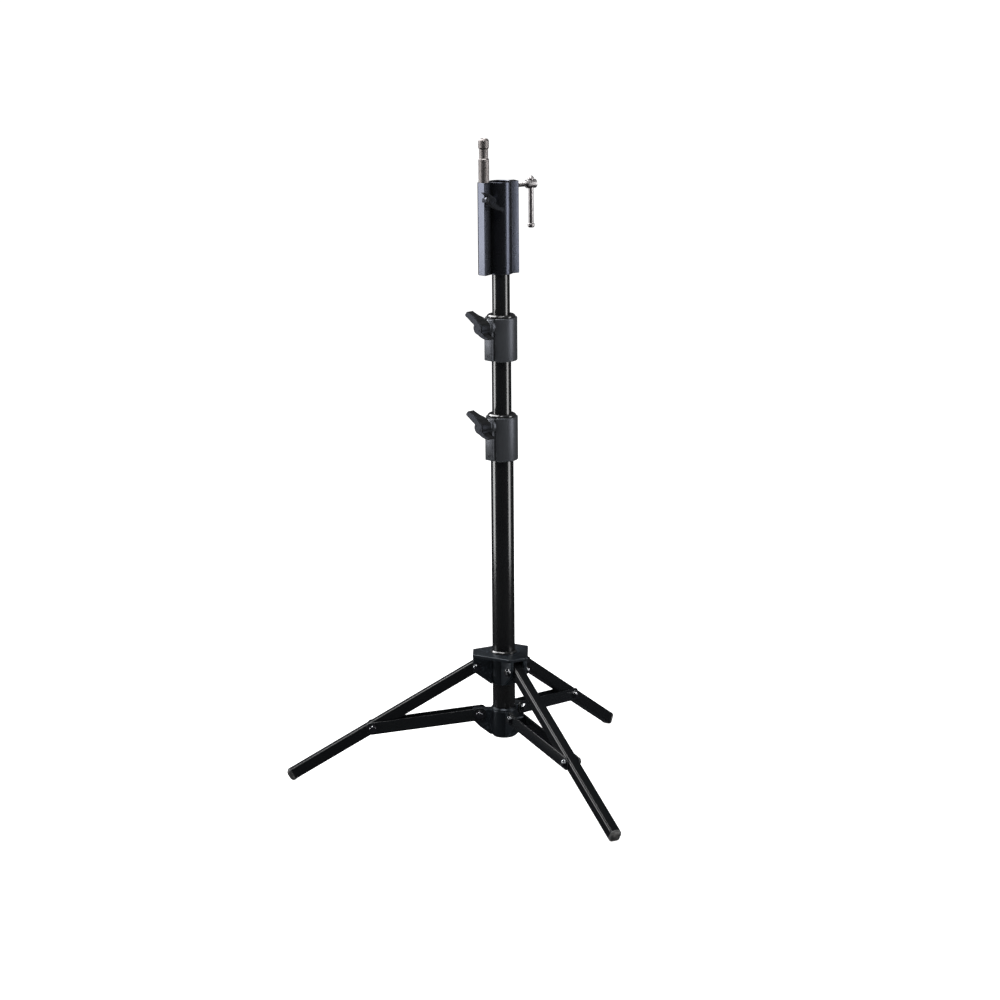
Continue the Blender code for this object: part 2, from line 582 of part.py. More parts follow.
def leg_hub(hub, mast_radius):
    """The sliding casting: plate, sleeve, a clevis for each leg and a boss for the locking knob."""
    bottom = HUB_PIVOT_HEIGHT - HUB_SLEEVE_BELOW_PIVOT
    edge = HUB_EDGE
    made = solid("leg_hub", turned([
        (HUB_SLEEVE_FOOT_RADIUS - edge, bottom),
        (HUB_SLEEVE_FOOT_RADIUS, bottom + edge),
        (HUB_SLEEVE_RADIUS, bottom + HUB_SLEEVE_BELOW_PIVOT / 2),
        (HUB_SLEEVE_RADIUS, HUB_TOP - edge),
    ]), "satin_black")
    plate = slab(hub_outline(), HUB_PLATE_BOTTOM, HUB_TOP, edge=0.7 * edge)
    root = LOWER_TUBE_RADIUS
    reach = HUB_END_INRADIUS - 0.4 * edge
    middle_of_plate = HUB_TOP - HUB_PLATE / 2
    side = [
        (root, bottom + edge),
        (HUB_SLEEVE_FOOT_RADIUS, bottom + edge),
        (reach, HUB_PIVOT_HEIGHT - HUB_CHEEK_DROP),
        (reach, middle_of_plate),
        (root, middle_of_plate),
    ]
    outline = rounded(side, (0.0, 0.0, 3.0 * edge, 0.0, 0.0))
    cheeks, bolt_holes = [], []
    for azimuth in LEG_AZIMUTHS:
        for faces in ((SLOT_HALF, CHEEK_OUTER), (-CHEEK_OUTER, -SLOT_HALF)):
            flat = slab(outline, -faces[1], -faces[0])
            cheeks.append(moved(flat, upright(azimuth) @ across().inverted()))
        hole = rod(BOLT_HOLE_RADIUS, -2 * CHEEK_OUTER, 2 * CHEEK_OUTER)
        bolt_holes.append(moved(hole, upright(azimuth, HUB_PIVOT_RADIUS, HUB_PIVOT_HEIGHT) @ across()))
    knob_height = HUB_PIVOT_HEIGHT - KNOB_BELOW_PIVOT
    outward = facing(KNOB_AZIMUTH, knob_height)
    boss = rod(KNOB_BOSS_RADIUS, mast_radius, KNOB_BOSS_END, sides=ROD_SIDES, edge=0.6 * edge)
    operate(made, "UNION", plate, gathered(cheeks), moved(boss, outward))
    bore = rod(mast_radius + CLEARANCE, bottom - OVERSHOOT, HUB_TOP + OVERSHOOT, sides=SIDES)
    ring_seat = rod(RING_SEAT_RADIUS, HUB_TOP - RING_SEAT_DEPTH, HUB_TOP + OVERSHOOT, sides=SIDES)
    screw_hole = rod(CLAMP_SCREW_RADIUS + CLEARANCE, mast_radius / 2, KNOB_BOSS_END + OVERSHOOT,
                     sides=SCREW_SIDES)
    operate(made, "DIFFERENCE", bore, ring_seat, gathered(bolt_holes), moved(screw_hole, outward))
    put(made, hub)
    for number, azimuth in enumerate(LEG_AZIMUTHS, 1):
        bolt = pivot_bolt(f"leg_pivot_bolt_{number}", CHEEK_OUTER)
        put(bolt, hub, upright(azimuth, HUB_PIVOT_RADIUS, HUB_PIVOT_HEIGHT) @ across())
    put(lip_ring("hub_glide_ring", mast_radius + CLEARANCE, HUB_TOP), hub)


def locking_knob(hub, mast_radius):
    """The lobed knob that locks the hub on the mast, with its screw."""
    turn = axis("hub_knob_axis", hub, facing(KNOB_AZIMUTH, HUB_PIVOT_HEIGHT - KNOB_BELOW_PIVOT))
    low = KNOB_BOSS_END + CLEARANCE
    count = KNOB_LOBES * 4
    rings = []
    for along, scale in KNOB_PROFILE:
        ring = []
        for i in range(count):
            angle = math.tau * i / count
            lobe = 1 - KNOB_LOBE_DEPTH * (1 - math.cos(KNOB_LOBES * angle)) / 2
            radius = scale * KNOB_RADIUS * lobe
            height = low + along * KNOB_LENGTH
            ring.append(Vector((radius * math.cos(angle), radius * math.sin(angle), height)))
        rings.append(ring)
    knob = solid("hub_knob", skinned(rings), "plastic_black")
    screw_end = low + KNOB_SCREW_SHARE * KNOB_LENGTH
    hole = rod(CLAMP_SCREW_RADIUS + CLEARANCE, low - OVERSHOOT, screw_end + CLEARANCE, sides=SCREW_SIDES)
    operate(knob, "DIFFERENCE", hole)
    put(knob, turn)
    screw = rod(CLAMP_SCREW_RADIUS, mast_radius + CLEARANCE, screw_end, sides=SCREW_SIDES)
    put(solid("hub_knob_screw", screw, "zinc"), turn)


def brace_collar(mast):
    """The fixed casting at the mast's foot, with one lug for each pair of straps."""
    lip = COLLAR_TOP + LIP_HEIGHT
    edge = COLLAR_EDGE
    made = solid("brace_collar", turned([
        (COLLAR_FOOT_RADIUS - edge, COLLAR_BOTTOM),
        (COLLAR_FOOT_RADIUS, COLLAR_BOTTOM + edge),
        (COLLAR_RADIUS, (COLLAR_BOTTOM + COLLAR_TOP) / 2),
        (COLLAR_RADIUS, COLLAR_TOP - 0.3 * edge),
        (LIP_RADIUS, COLLAR_TOP + 0.3 * edge),
        (LIP_RADIUS, lip - LIP_ROUND),
        (LIP_RADIUS - 0.2 * LIP_ROUND, lip - 0.35 * LIP_ROUND),
        (LIP_RADIUS - 0.5 * LIP_ROUND, lip),
    ]), "satin_black")
    half = LEG_WIDTH / 2
    root = LOWER_TUBE_RADIUS
    side = [
        (root, COLLAR_BOTTOM + LOWER_TUBE_RECESS),
        (COLLAR_FOOT_RADIUS + edge, COLLAR_BOTTOM + LOWER_TUBE_RECESS),
        (COLLAR_LUG_REACH - COLLAR_LUG_BELLY, COLLAR_BOTTOM + COLLAR_LUG_RISE),
        (COLLAR_LUG_REACH, BRACE_PIVOT_HEIGHT - COLLAR_LUG_NOSE),
        (COLLAR_LUG_REACH, COLLAR_TOP),
        (root, COLLAR_TOP),
    ]
    outline = rounded(side, COLLAR_LUG_ROUNDS, steps=4)
    lugs, bolt_holes = [], []
    for azimuth in LEG_AZIMUTHS:
        lugs.append(moved(slab(outline, -half, half), upright(azimuth) @ across().inverted()))
        hole = rod(BOLT_HOLE_RADIUS, -2 * half, 2 * half)
        bolt_holes.append(moved(hole, upright(azimuth, BRACE_PIVOT_RADIUS, BRACE_PIVOT_HEIGHT) @ across()))
    operate(made, "UNION", gathered(lugs))
    bore = rod(LOWER_TUBE_RADIUS + CLEARANCE, COLLAR_BOTTOM - OVERSHOOT, lip + OVERSHOOT, sides=SIDES)
    operate(made, "DIFFERENCE", bore, gathered(bolt_holes))
    put(made, mast)
    for number, azimuth in enumerate(LEG_AZIMUTHS, 1):
        bolt = pivot_bolt(f"brace_collar_bolt_{number}", STRAP_OUTER_FACE)
        put(bolt, mast, upright(azimuth, BRACE_PIVOT_RADIUS, BRACE_PIVOT_HEIGHT) @ across())


def wing_lever(name, turn, seat, scale, long_angle, short_angle, screw_radius):
    """A moulded lever along Z from its seat: round body, square-ended arm and pointed arm."""
    body = LEVER_BODY_RADIUS * scale
    top = seat + LEVER_BODY_LENGTH * scale
    crown = [(body * share, top - drop * LEVER_BODY_LENGTH * scale) for share, drop in LEVER_CROWN]
    made = solid(name, turned([(body, seat)] + crown, sides=ROD_SIDES), "lever_black")
    depth = LEVER_ARM_THICKNESS * scale
    root = LEVER_ARM_ROOT * scale / 2
    long_tip = LEVER_LONG_ARM_WIDTH * scale / 2
    long_reach = LEVER_LONG_ARM * scale
    centre = top - depth / 2 - LEVER_ARM_DROP
    corner = LEVER_CORNER * scale
    square = [
        (LEVER_ARM_START, root, depth * 0.42),
        (0.45 * long_reach, 0.88 * root, depth * 0.48),
        (long_reach - corner, long_tip, depth * 0.5),
        (long_reach, long_tip - corner, depth * 0.5 - corner),
    ]
    point = [(LEVER_ARM_START, root * 1.1, depth * 0.42)]
    short_reach = LEVER_SHORT_ARM * scale
    half_width = LEVER_SHORT_ARM_WIDTH * scale / 2
    for share, width, thickness in SHORT_ARM_SECTIONS:
        point.append((share * short_reach, width * half_width, thickness * depth))
    for angle, sections in ((long_angle, square), (short_angle, point)):
        rings = []
        for along, half, thick in sections:
            rings.append(box_ring(half, thick, min(corner, 0.6 * half), along, centre, 1))
        operate(made, "UNION", moved(skinned(rings), Matrix.Rotation(math.radians(angle), 4, "Z")))
    screw_end = top - LEVER_SCREW_COVER * scale
    hole = rod(screw_radius + CLEARANCE, seat - OVERSHOOT, screw_end + CLEARANCE, sides=SCREW_SIDES)
    operate(made, "DIFFERENCE", hole)
    put(made, turn)
    return screw_end


def riser_collar(prefix, parent, bottom, top, outer_radius, riser_radius):
    """A clamp casting on a tube's upper end: it guides the riser inside and locks it with a lever."""
    edge = RISER_COLLAR_EDGE
    made = solid(f"{prefix}_riser_collar", turned([
        (RISER_COLLAR_RADIUS - edge, bottom),
        (RISER_COLLAR_RADIUS, bottom + edge),
        (RISER_COLLAR_RADIUS, top - 1.3 * edge),
        (RISER_COLLAR_RADIUS - 0.4 * edge, top - 0.4 * edge),
        (RISER_COLLAR_RADIUS - 1.3 * edge, top),
    ]), "satin_black")
    clamp = top - CLAMP_BELOW_TOP
    half_height = (top - bottom) / 2 - edge
    middle = (top + bottom) / 2 - clamp
    corners = [(-PAD_HALF_WIDTH, middle - half_height), (PAD_HALF_WIDTH, middle - half_height),
               (PAD_HALF_WIDTH, middle + half_height), (-PAD_HALF_WIDTH, middle + half_height)]
    outward = facing(CLAMP_AZIMUTH, clamp)
    pad = slab(rounded(corners, PAD_CORNER), riser_radius, PAD_FACE, edge=PAD_CORNER / 3)
    boss = turned([
        (BOSS_FOOT_RADIUS, riser_radius),
        (BOSS_FOOT_RADIUS, PAD_FACE),
        (BOSS_RADIUS, PAD_FACE + BOSS_FOOT_HEIGHT),
        (BOSS_RADIUS, BOSS_END - BOSS_EDGE),
        (BOSS_RADIUS - BOSS_EDGE, BOSS_END),
    ], sides=ROD_SIDES)
    operate(made, "UNION", moved(pad, outward), moved(boss, outward))
    tube_top = top - TUBE_SEAT_BELOW_TOP
    lower_bore = rod(outer_radius + CLEARANCE, bottom - OVERSHOOT, tube_top + CLEARANCE, sides=SIDES)
    upper_bore = rod(riser_radius + CLEARANCE, bottom - OVERSHOOT, top + OVERSHOOT, sides=SIDES)
    ring_seat = rod(RING_SEAT_RADIUS, top - RING_SEAT_DEPTH, top + OVERSHOOT, sides=SIDES)
    screw_hole = rod(CLAMP_SCREW_RADIUS + CLEARANCE, riser_radius / 2, BOSS_END + OVERSHOOT,
                     sides=SCREW_SIDES)
    set_height = bottom + SET_SCREW_ABOVE_BOTTOM
    set_hole = rod(SET_SCREW_RADIUS + CLEARANCE, outer_radius / 2, PAD_FACE + OVERSHOOT)
    set_outward = facing(CLAMP_AZIMUTH, set_height)
    operate(made, "DIFFERENCE", lower_bore, upper_bore, ring_seat, moved(screw_hole, outward),
            moved(set_hole, set_outward))
    put(made, parent)
    put(lip_ring(f"{prefix}_collar_ring", riser_radius + CLEARANCE, top), parent)
    screw = rod(SET_SCREW_RADIUS, outer_radius + CLEARANCE, PAD_FACE + SET_SCREW_PROUD, edge=SCREW_EDGE)
    put(solid(f"{prefix}_collar_set_screw", screw, "zinc"), parent, set_outward)
    shoe_start = riser_radius + CLEARANCE
    shoe_end = shoe_start + SHOE_THICKNESS
    shoe = rod(CLAMP_SCREW_RADIUS, shoe_start, shoe_end, sides=SCREW_SIDES, edge=SCREW_EDGE)
    put(solid(f"{prefix}_clamp_shoe", shoe, "brass"), parent, outward)

    turn = axis(f"{prefix}_lever_axis", parent, outward)
    end = wing_lever(f"{prefix}_lever", turn, BOSS_END + CLEARANCE, 1.0, LEVER_LONG_ANGLE,
                     LEVER_SHORT_ANGLE, CLAMP_SCREW_RADIUS)
    screw = rod(CLAMP_SCREW_RADIUS, shoe_end + CLEARANCE, end, sides=SCREW_SIDES, edge=SCREW_EDGE)
    put(solid(f"{prefix}_lever_screw", screw, "zinc"), turn)


def arc(centre_x, radius, start, end, steps):
    """Points of an arc about (centre_x, 0), from one angle to another."""
    points = []
    for k in range(steps + 1):
        angle = start + (end - start) * k / steps
        points.append((centre_x + radius * math.cos(angle), radius * math.sin(angle)))
    return points


def head_outline():
    """The extruded section: barrel, screw rib on +X, stud barrel on -X and the web that joins them."""
    rib = math.asin(SCREW_RIB_HALF_WIDTH / HEAD_RADIUS)
    web = math.asin(STUD_BARREL_WEB / HEAD_RADIUS)
    stud_web = math.asin(STUD_BARREL_WEB / STUD_BARREL_RADIUS)
    upper = arc(0.0, HEAD_RADIUS, rib, math.pi - web, 11)
    stud = arc(-STUD_BARREL_OFFSET, STUD_BARREL_RADIUS, stud_web, math.tau - stud_web, 14)
    lower = arc(0.0, HEAD_RADIUS, math.pi + web, math.tau - rib, 11)
    square = [(HEAD_RADIUS / 2, -SCREW_RIB_HALF_WIDTH), (SCREW_RIB_REACH, -SCREW_RIB_HALF_WIDTH),
              (SCREW_RIB_REACH, SCREW_RIB_HALF_WIDTH), (HEAD_RADIUS / 2, SCREW_RIB_HALF_WIDTH)]
    rib_end = rounded(square, (0.0, SCREW_RIB_CORNER, SCREW_RIB_CORNER, 0.0))[1:-1]
    return [Vector(point) for point in upper + stud + lower] + rib_end


def combo_head(riser):
    """The head casting, its set screw, and what it carries: stud, stud clamp and receiver screw."""
    yaw = upright(HEAD_YAW)
    stud_centre = Matrix.Translation((-STUD_BARREL_OFFSET, 0.0, 0.0))
    made = solid("combo_head", slab(head_outline(), HEAD_BOTTOM, HEAD_TOP, edge=HEAD_EDGE), "satin_black")
    stud_clamp = stud_centre @ facing(-90.0, STUD_CLAMP_HEIGHT)
    boss = rod(STUD_BOSS_RADIUS, STUD_RADIUS, STUD_BOSS_END, sides=ROD_SIDES, edge=BOSS_EDGE)
    operate(made, "UNION", moved(boss, stud_clamp))
    above, below = HEAD_TOP + OVERSHOOT, HEAD_BOTTOM - OVERSHOOT
    upper_bore = rod(RECEIVER_RADIUS, HEAD_SHOULDER + HEAD_SHOULDER_THICKNESS, above, sides=SIDES)
    lower_bore = rod(TOP_TUBE_RADIUS + CLEARANCE, below, HEAD_SHOULDER, sides=SIDES)
    passage = rod(HEAD_SHOULDER_RADIUS, HEAD_SHOULDER - OVERSHOOT, HEAD_TOP, sides=SIDES)
    stud_bore = moved(rod(STUD_RADIUS + CLEARANCE, below, above, sides=ROD_SIDES), stud_centre)
    stud_hole = moved(rod(STUD_SCREW_RADIUS + CLEARANCE, 0.0, STUD_BOSS_END + OVERSHOOT), stud_clamp)
    t_screw_place = facing(0.0, T_SCREW_HEIGHT)
    screw_hole = rod(T_SCREW_RADIUS + CLEARANCE, 0.0, SCREW_RIB_REACH + OVERSHOOT, sides=SCREW_SIDES)
    set_place = facing(90.0, HEAD_SET_SCREW_HEIGHT)
    set_hole = moved(rod(SET_SCREW_RADIUS + CLEARANCE, 0.0, HEAD_RADIUS + OVERSHOOT), set_place)
    operate(made, "DIFFERENCE", upper_bore, lower_bore, passage, stud_bore, stud_hole,
            moved(screw_hole, t_screw_place), set_hole)
    put(made, riser, yaw)
    screw = rod(SET_SCREW_RADIUS, TOP_TUBE_RADIUS + CLEARANCE, HEAD_RADIUS + SET_SCREW_PROUD,
                edge=SCREW_EDGE)
    put(solid("head_set_screw", screw, "zinc"), riser, yaw @ set_place)

    slide = axis("stud_axis", riser, yaw @ stud_centre)
    ease = STUD_RADIUS - STUD_NECK_RADIUS
    outline = [
        (STUD_RADIUS - STUD_CHAMFER, STUD_BOTTOM),
        (STUD_RADIUS, STUD_BOTTOM + STUD_CHAMFER),
        (STUD_RADIUS, STUD_NECK_BOTTOM - ease),
        (STUD_NECK_RADIUS, STUD_NECK_BOTTOM),
        (STUD_NECK_RADIUS, STUD_NECK_TOP - ease),
        (STUD_RADIUS, STUD_NECK_TOP),
    ]
    spread = STUD_RADIUS - STUD_TIP_RADIUS
    for k in range(CORNER_STEPS + 1):
        turn = math.pi / 2 * k / CORNER_STEPS
        drop = STUD_DOME * (1 - math.sin(turn))
        outline.append((STUD_TIP_RADIUS + spread * math.cos(turn), STUD_TOP - drop))
    put(solid("stud", turned(outline, sides=ROD_SIDES), "chrome"), slide)

    turn = axis("stud_lever_axis", riser, yaw @ stud_clamp)
    end = wing_lever("stud_lever", turn, STUD_BOSS_END + CLEARANCE, STUD_LEVER_SCALE,
                     STUD_LEVER_LONG_ANGLE, STUD_LEVER_SHORT_ANGLE, STUD_SCREW_RADIUS)
    screw = rod(STUD_SCREW_RADIUS, STUD_RADIUS + 2 * CLEARANCE, end, edge=SCREW_EDGE)
    put(solid("stud_lever_screw", screw, "zinc"), turn)

    turn = axis("t_screw_axis", riser, yaw @ t_screw_place)
    tip = RECEIVER_RADIUS + 2 * CLEARANCE
    hub_end = T_HUB_START + T_HUB_LENGTH
    screw = solid("t_screw", turned([
        (T_SCREW_RADIUS - T_EDGE, tip),
        (T_SCREW_RADIUS, tip + T_EDGE),
        (T_SCREW_RADIUS, T_HUB_START),
        (T_HUB_RADIUS - T_EDGE, T_HUB_START),
        (T_HUB_RADIUS, T_HUB_START + T_EDGE),
        (T_HUB_RADIUS, hub_end - T_EDGE),
        (T_HUB_RADIUS - T_EDGE, hub_end),
    ], sides=ROD_SIDES), "chrome")
    middle = Matrix.Translation((0.0, 0.0, T_HUB_START + T_HUB_LENGTH / 2))
    bar_hole = rod(BAR_RADIUS + CLEARANCE, -BAR_DROP, BAR_DROP, sides=SCREW_SIDES)
    operate(screw, "DIFFERENCE", moved(bar_hole, middle @ across()))
    put(screw, turn)
    bar_slide = axis("tommy_bar_axis", turn, middle @ across())
    knob_seat = T_HUB_RADIUS + BAR_KNOB_SEAT
    bar_top = knob_seat + BAR_KNOB_HEIGHT / 2
    bar = rod(BAR_RADIUS, BAR_END_COVER - BAR_DROP, bar_top, sides=SCREW_SIDES, edge=SCREW_EDGE)
    put(solid("tommy_bar", bar, "chrome"), bar_slide)
    upper = (knob_seat, knob_seat - OVERSHOOT, bar_top + CLEARANCE)
    lower = (-BAR_DROP, BAR_END_COVER - CLEARANCE - BAR_DROP, BAR_KNOB_HEIGHT + OVERSHOOT - BAR_DROP)
    for label, (low, *blind) in (("upper", upper), ("lower", lower)):
        cap = rod(BAR_KNOB_RADIUS, low, low + BAR_KNOB_HEIGHT, sides=ROD_SIDES, edge=T_EDGE)
        knob = solid(f"tommy_bar_knob_{label}", cap, "chrome")
        operate(knob, "DIFFERENCE", rod(BAR_RADIUS + CLEARANCE, *blind, sides=SCREW_SIDES))
        put(knob, bar_slide)


def stand():
    """The whole stand, hung on the mast's axis."""
    mast = axis("mast_axis", None, Matrix.Identity(4))
    put(tube("lower_tube", LOWER_TUBE_RADIUS, LOWER_TUBE_WALL, LOWER_TUBE_BOTTOM, LOWER_TUBE_TOP), mast)
    lower_bore = LOWER_TUBE_RADIUS - LOWER_TUBE_WALL
    put(tube_plug("lower_tube_plug", LOWER_TUBE_RADIUS, lower_bore, LOWER_TUBE_BOTTOM), mast)
    brace_collar(mast)
    riser_collar("lower", mast, LOWER_COLLAR_BOTTOM, LOWER_COLLAR_TOP, LOWER_TUBE_RADIUS, MID_TUBE_RADIUS)

    hub = axis("hub_slide_axis", mast, Matrix.Identity(4))
    leg_hub(hub, LOWER_TUBE_RADIUS)
    locking_knob(hub, LOWER_TUBE_RADIUS)
    for number, azimuth in enumerate(LEG_AZIMUTHS, 1):
        leg(number, azimuth, hub)
        brace(number, azimuth, mast)

    mid = axis("mid_riser_axis", mast, Matrix.Identity(4))
    put(tube("mid_tube", MID_TUBE_RADIUS, MID_TUBE_WALL, MID_TUBE_BOTTOM, MID_TUBE_TOP), mid)
    mid_bore = MID_TUBE_RADIUS - MID_TUBE_WALL
    put(tube_plug("mid_tube_guide", lower_bore - CLEARANCE, mid_bore, MID_TUBE_BOTTOM), mid)
    riser_collar("upper", mid, UPPER_COLLAR_BOTTOM, UPPER_COLLAR_TOP, MID_TUBE_RADIUS, TOP_TUBE_RADIUS)

    top = axis("top_riser_axis", mid, Matrix.Identity(4))
    put(tube("top_tube", TOP_TUBE_RADIUS, TOP_TUBE_WALL, TOP_TUBE_BOTTOM, TOP_TUBE_TOP), top)
    top_bore = TOP_TUBE_RADIUS - TOP_TUBE_WALL
    put(tube_plug("top_tube_guide", mid_bore - CLEARANCE, top_bore, TOP_TUBE_BOTTOM), top)
    combo_head(top)
    return mast


def centre_on_floor(mast):
    """Move the stand so that the middle of its footprint is over the origin."""
    bpy.context.view_layer.update()
    graph = bpy.context.evaluated_depsgraph_get()
    points = []
    for thing in bpy.data.objects:
        if thing.type == "MESH" and not thing.hide_render:
            shape = thing.evaluated_get(graph)
            points += [shape.matrix_world @ v.co for v in shape.data.vertices]
    low = [min(p[i] for p in points) for i in range(3)]
    high = [max(p[i] for p in points) for i in range(3)]
    mast.location = (-(low[0] + high[0]) / 2, -(low[1] + high[1]) / 2, -low[2])
    bpy.context.view_layer.update()
    print("mast at", [round(v / MM, 3) for v in mast.location], "mm")
    print("hub travel", round(HUB_TRAVEL / MM, 2), "mm, leg swing", round(LEG_SWING, 3),
          "deg, brace swing", round(BRACE_SWING, 3), "deg")


for old in list(bpy.data.objects):
    bpy.data.objects.remove(old)
centre_on_floor(stand())
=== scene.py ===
# %% [markdown]
# # A combo light stand
# Stands like this one carry lamps on a film or photo set. Three legs fold up against a mast, two
# inner tubes slide out of it, and the head on top takes either a lamp's stud or a heavy spigot.
# The CAD model, loaded below, gives each piece its place and its joints. This lesson dresses it:
# every piece that shows gets a finer surface, worked out with numpy, and a finish made of nodes.

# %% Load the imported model
import json
import math

import bmesh
import bpy
import numpy as np
from mathutils import Matrix, Vector
from mathutils.geometry import tessellate_polygon


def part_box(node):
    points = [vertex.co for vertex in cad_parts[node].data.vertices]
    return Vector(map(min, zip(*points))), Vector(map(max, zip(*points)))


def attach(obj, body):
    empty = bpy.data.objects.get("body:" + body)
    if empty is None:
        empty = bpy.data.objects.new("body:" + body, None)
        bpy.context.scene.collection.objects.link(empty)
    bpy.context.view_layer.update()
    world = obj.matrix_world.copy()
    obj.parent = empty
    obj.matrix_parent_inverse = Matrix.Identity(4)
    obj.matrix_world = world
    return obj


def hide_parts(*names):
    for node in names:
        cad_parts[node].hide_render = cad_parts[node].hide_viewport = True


MM = 0.001
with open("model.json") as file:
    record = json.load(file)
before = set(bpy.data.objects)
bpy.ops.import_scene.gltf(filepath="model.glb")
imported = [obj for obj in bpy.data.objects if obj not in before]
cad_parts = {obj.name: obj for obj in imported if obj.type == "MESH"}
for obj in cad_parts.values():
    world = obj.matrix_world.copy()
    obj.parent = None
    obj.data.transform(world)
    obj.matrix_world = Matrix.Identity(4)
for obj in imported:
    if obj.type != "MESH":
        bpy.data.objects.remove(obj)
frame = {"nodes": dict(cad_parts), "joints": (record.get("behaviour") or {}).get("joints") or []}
NODES = frame["nodes"]
JOINTS = {joint["name"]: joint for joint in frame["joints"]}
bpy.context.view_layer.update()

# %% [markdown]
# ## Places taken from the CAD model
# A finer piece has to sit where its CAD node sits. So heights and radii are read from the nodes'
# boxes and pivots from the joints, and only shapes that a box can't give are numbers here. All is
# worked out in millimetres round the mast's axis and moved out at the end.

# %% Read the mast's place, the tubes and the pivots
MAST_X = sum(corner.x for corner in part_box("lower_tube")) / 2 / MM


def span(node):
    """A node's box in millimetres round the mast: lowest corner and highest corner."""
    return [np.array(corner) / MM - (MAST_X, 0, 0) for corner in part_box(node)]


def pivot(joint):
    """A joint's point in millimetres round the mast."""
    return np.array(JOINTS[joint]["pos_m"]) / MM - (MAST_X, 0, 0)


def height(node):
    """The lowest and highest z of a node."""
    low, high = span(node)
    return low[2], high[2]


LEGS = {1: 180.0, 2: -60.0, 3: 60.0}
LEG_SLOPE = 31.29
HUB_PIVOT_RADIUS = math.hypot(*pivot("leg_1_fold")[:2])
HUB_PIVOT_HEIGHT = pivot("leg_1_fold")[2]
BRACE_PIVOT_RADIUS = math.hypot(*pivot("brace_1_fold")[:2])
BRACE_PIVOT_HEIGHT = pivot("brace_1_fold")[2]
JOINT_ALONG_LEG = 191.4
JOINT_DROP = 1.5
LEG_REACH = 344.5
slope = math.radians(LEG_SLOPE)
joint_out = (HUB_PIVOT_RADIUS + JOINT_ALONG_LEG * math.cos(slope) - JOINT_DROP * math.sin(slope)
             - BRACE_PIVOT_RADIUS)
joint_down = (BRACE_PIVOT_HEIGHT - HUB_PIVOT_HEIGHT + JOINT_ALONG_LEG * math.sin(slope)
              + JOINT_DROP * math.cos(slope))
BRACE_LENGTH = math.hypot(joint_out, joint_down)
BRACE_SLOPE = math.degrees(math.atan2(joint_down, joint_out))
HEAD_YAW = 28.0
CLAMP_AZIMUTH = 226.0
KNOB_AZIMUTH = 120.0
print("mast at", round(MAST_X, 2), "mm, braces", round(BRACE_LENGTH, 2), "mm long")

# %% [markdown]
# ## Frames
# Each repeated piece is made once, lying along its own axes, and a 4 by 4 matrix carries it to its
# place. Two kinds are enough: an arm that runs outward, and a screw or lever that faces outward.

# %% Turn, shift and place arrays of points


def turned_about(axis, degrees):
    """The matrix of a turn about x, y or z."""
    cos, sin = math.cos(math.radians(degrees)), math.sin(math.radians(degrees))
    first, second = {"x": (1, 2), "y": (2, 0), "z": (0, 1)}[axis]
    matrix = np.eye(4)
    matrix[first, first] = matrix[second, second] = cos
    matrix[first, second], matrix[second, first] = -sin, sin
    return matrix


def shifted(x=0.0, y=0.0, z=0.0):
    """The matrix of a move."""
    matrix = np.eye(4)
    matrix[:3, 3] = (x, y, z)
    return matrix


def arm(azimuth, radius=0.0, z=0.0, slope=0.0):
    """An arm's frame: x runs outward and down by the slope, y across, z up."""
    return turned_about("z", azimuth) @ shifted(radius, 0, z) @ turned_about("y", slope)


def facing(azimuth, z=0.0):
    """The frame of a piece that points outward: z outward, y up."""
    return shifted(0, 0, z) @ turned_about("z", azimuth + 90) @ turned_about("x", 90)


def leg_frame(number, slope=LEG_SLOPE):
    """The frame of a leg, from its pivot in the hub."""
    return arm(LEGS[number], HUB_PIVOT_RADIUS, HUB_PIVOT_HEIGHT, slope)


def brace_frame(number, slope=BRACE_SLOPE):
    """The frame of a brace, from its pivot in the collar."""
    return arm(LEGS[number], BRACE_PIVOT_RADIUS, BRACE_PIVOT_HEIGHT, slope)


ACROSS, UPRIGHT, FLIP = (turned_about("x", angle) for angle in (-90, 90, 180))


def placed(shell, matrix):
    """A shell after a matrix: every point times the turn, plus the move."""
    points, faces = shell
    return points @ matrix[:3, :3].T + matrix[:3, 3], faces


# %% [markdown]
# ## Surfaces from rows of points
# Almost every piece here is a grid: rows of points that run round it, stacked along it. The rows
# come from a formula on whole arrays, and one function joins neighbouring rows with quads. A tube
# joins its last row to its first. Anything else is closed with a flat face at both ends.

# %% Skin a grid of points


def skin(rows, ring=False):
    """Quads between neighbouring rows of a (rows, columns, 3) array, whose columns run round."""
    count, columns = rows.shape[:2]
    index = np.arange(count * columns).reshape(count, columns)
    here, there = (index, np.roll(index, -1, 0)) if ring else (index[:-1], index[1:])
    quads = np.stack([here, np.roll(here, -1, 1), np.roll(there, -1, 1), there], -1)
    faces = quads.reshape(-1, 4).tolist()
    if not ring:
        faces += [index[0][::-1].tolist(), index[-1].tolist()]
    return rows.reshape(-1, 3), faces


def around(columns):
    """Equal angles round a circle."""
    return np.arange(columns) * math.tau / columns


def round_body(radius, z, ring=False):
    """A radius and a height for each row and column, as points: radius times cosine, times sine, and z."""
    angle = around(radius.shape[1])
    return skin(np.stack([radius * np.cos(angle), radius * np.sin(angle), z + 0 * radius], -1), ring)


def turned(profile, columns=64, ring=False):
    """A profile of (radius, height) pairs carried round z."""
    profile = np.asarray(profile, float)
    return round_body(np.repeat(profile[:, :1], columns, 1), profile[:, 1:], ring)


def rectangle(left, low, right, high):
    """Its four corners, anticlockwise."""
    return [(left, low), (right, low), (right, high), (left, high)]


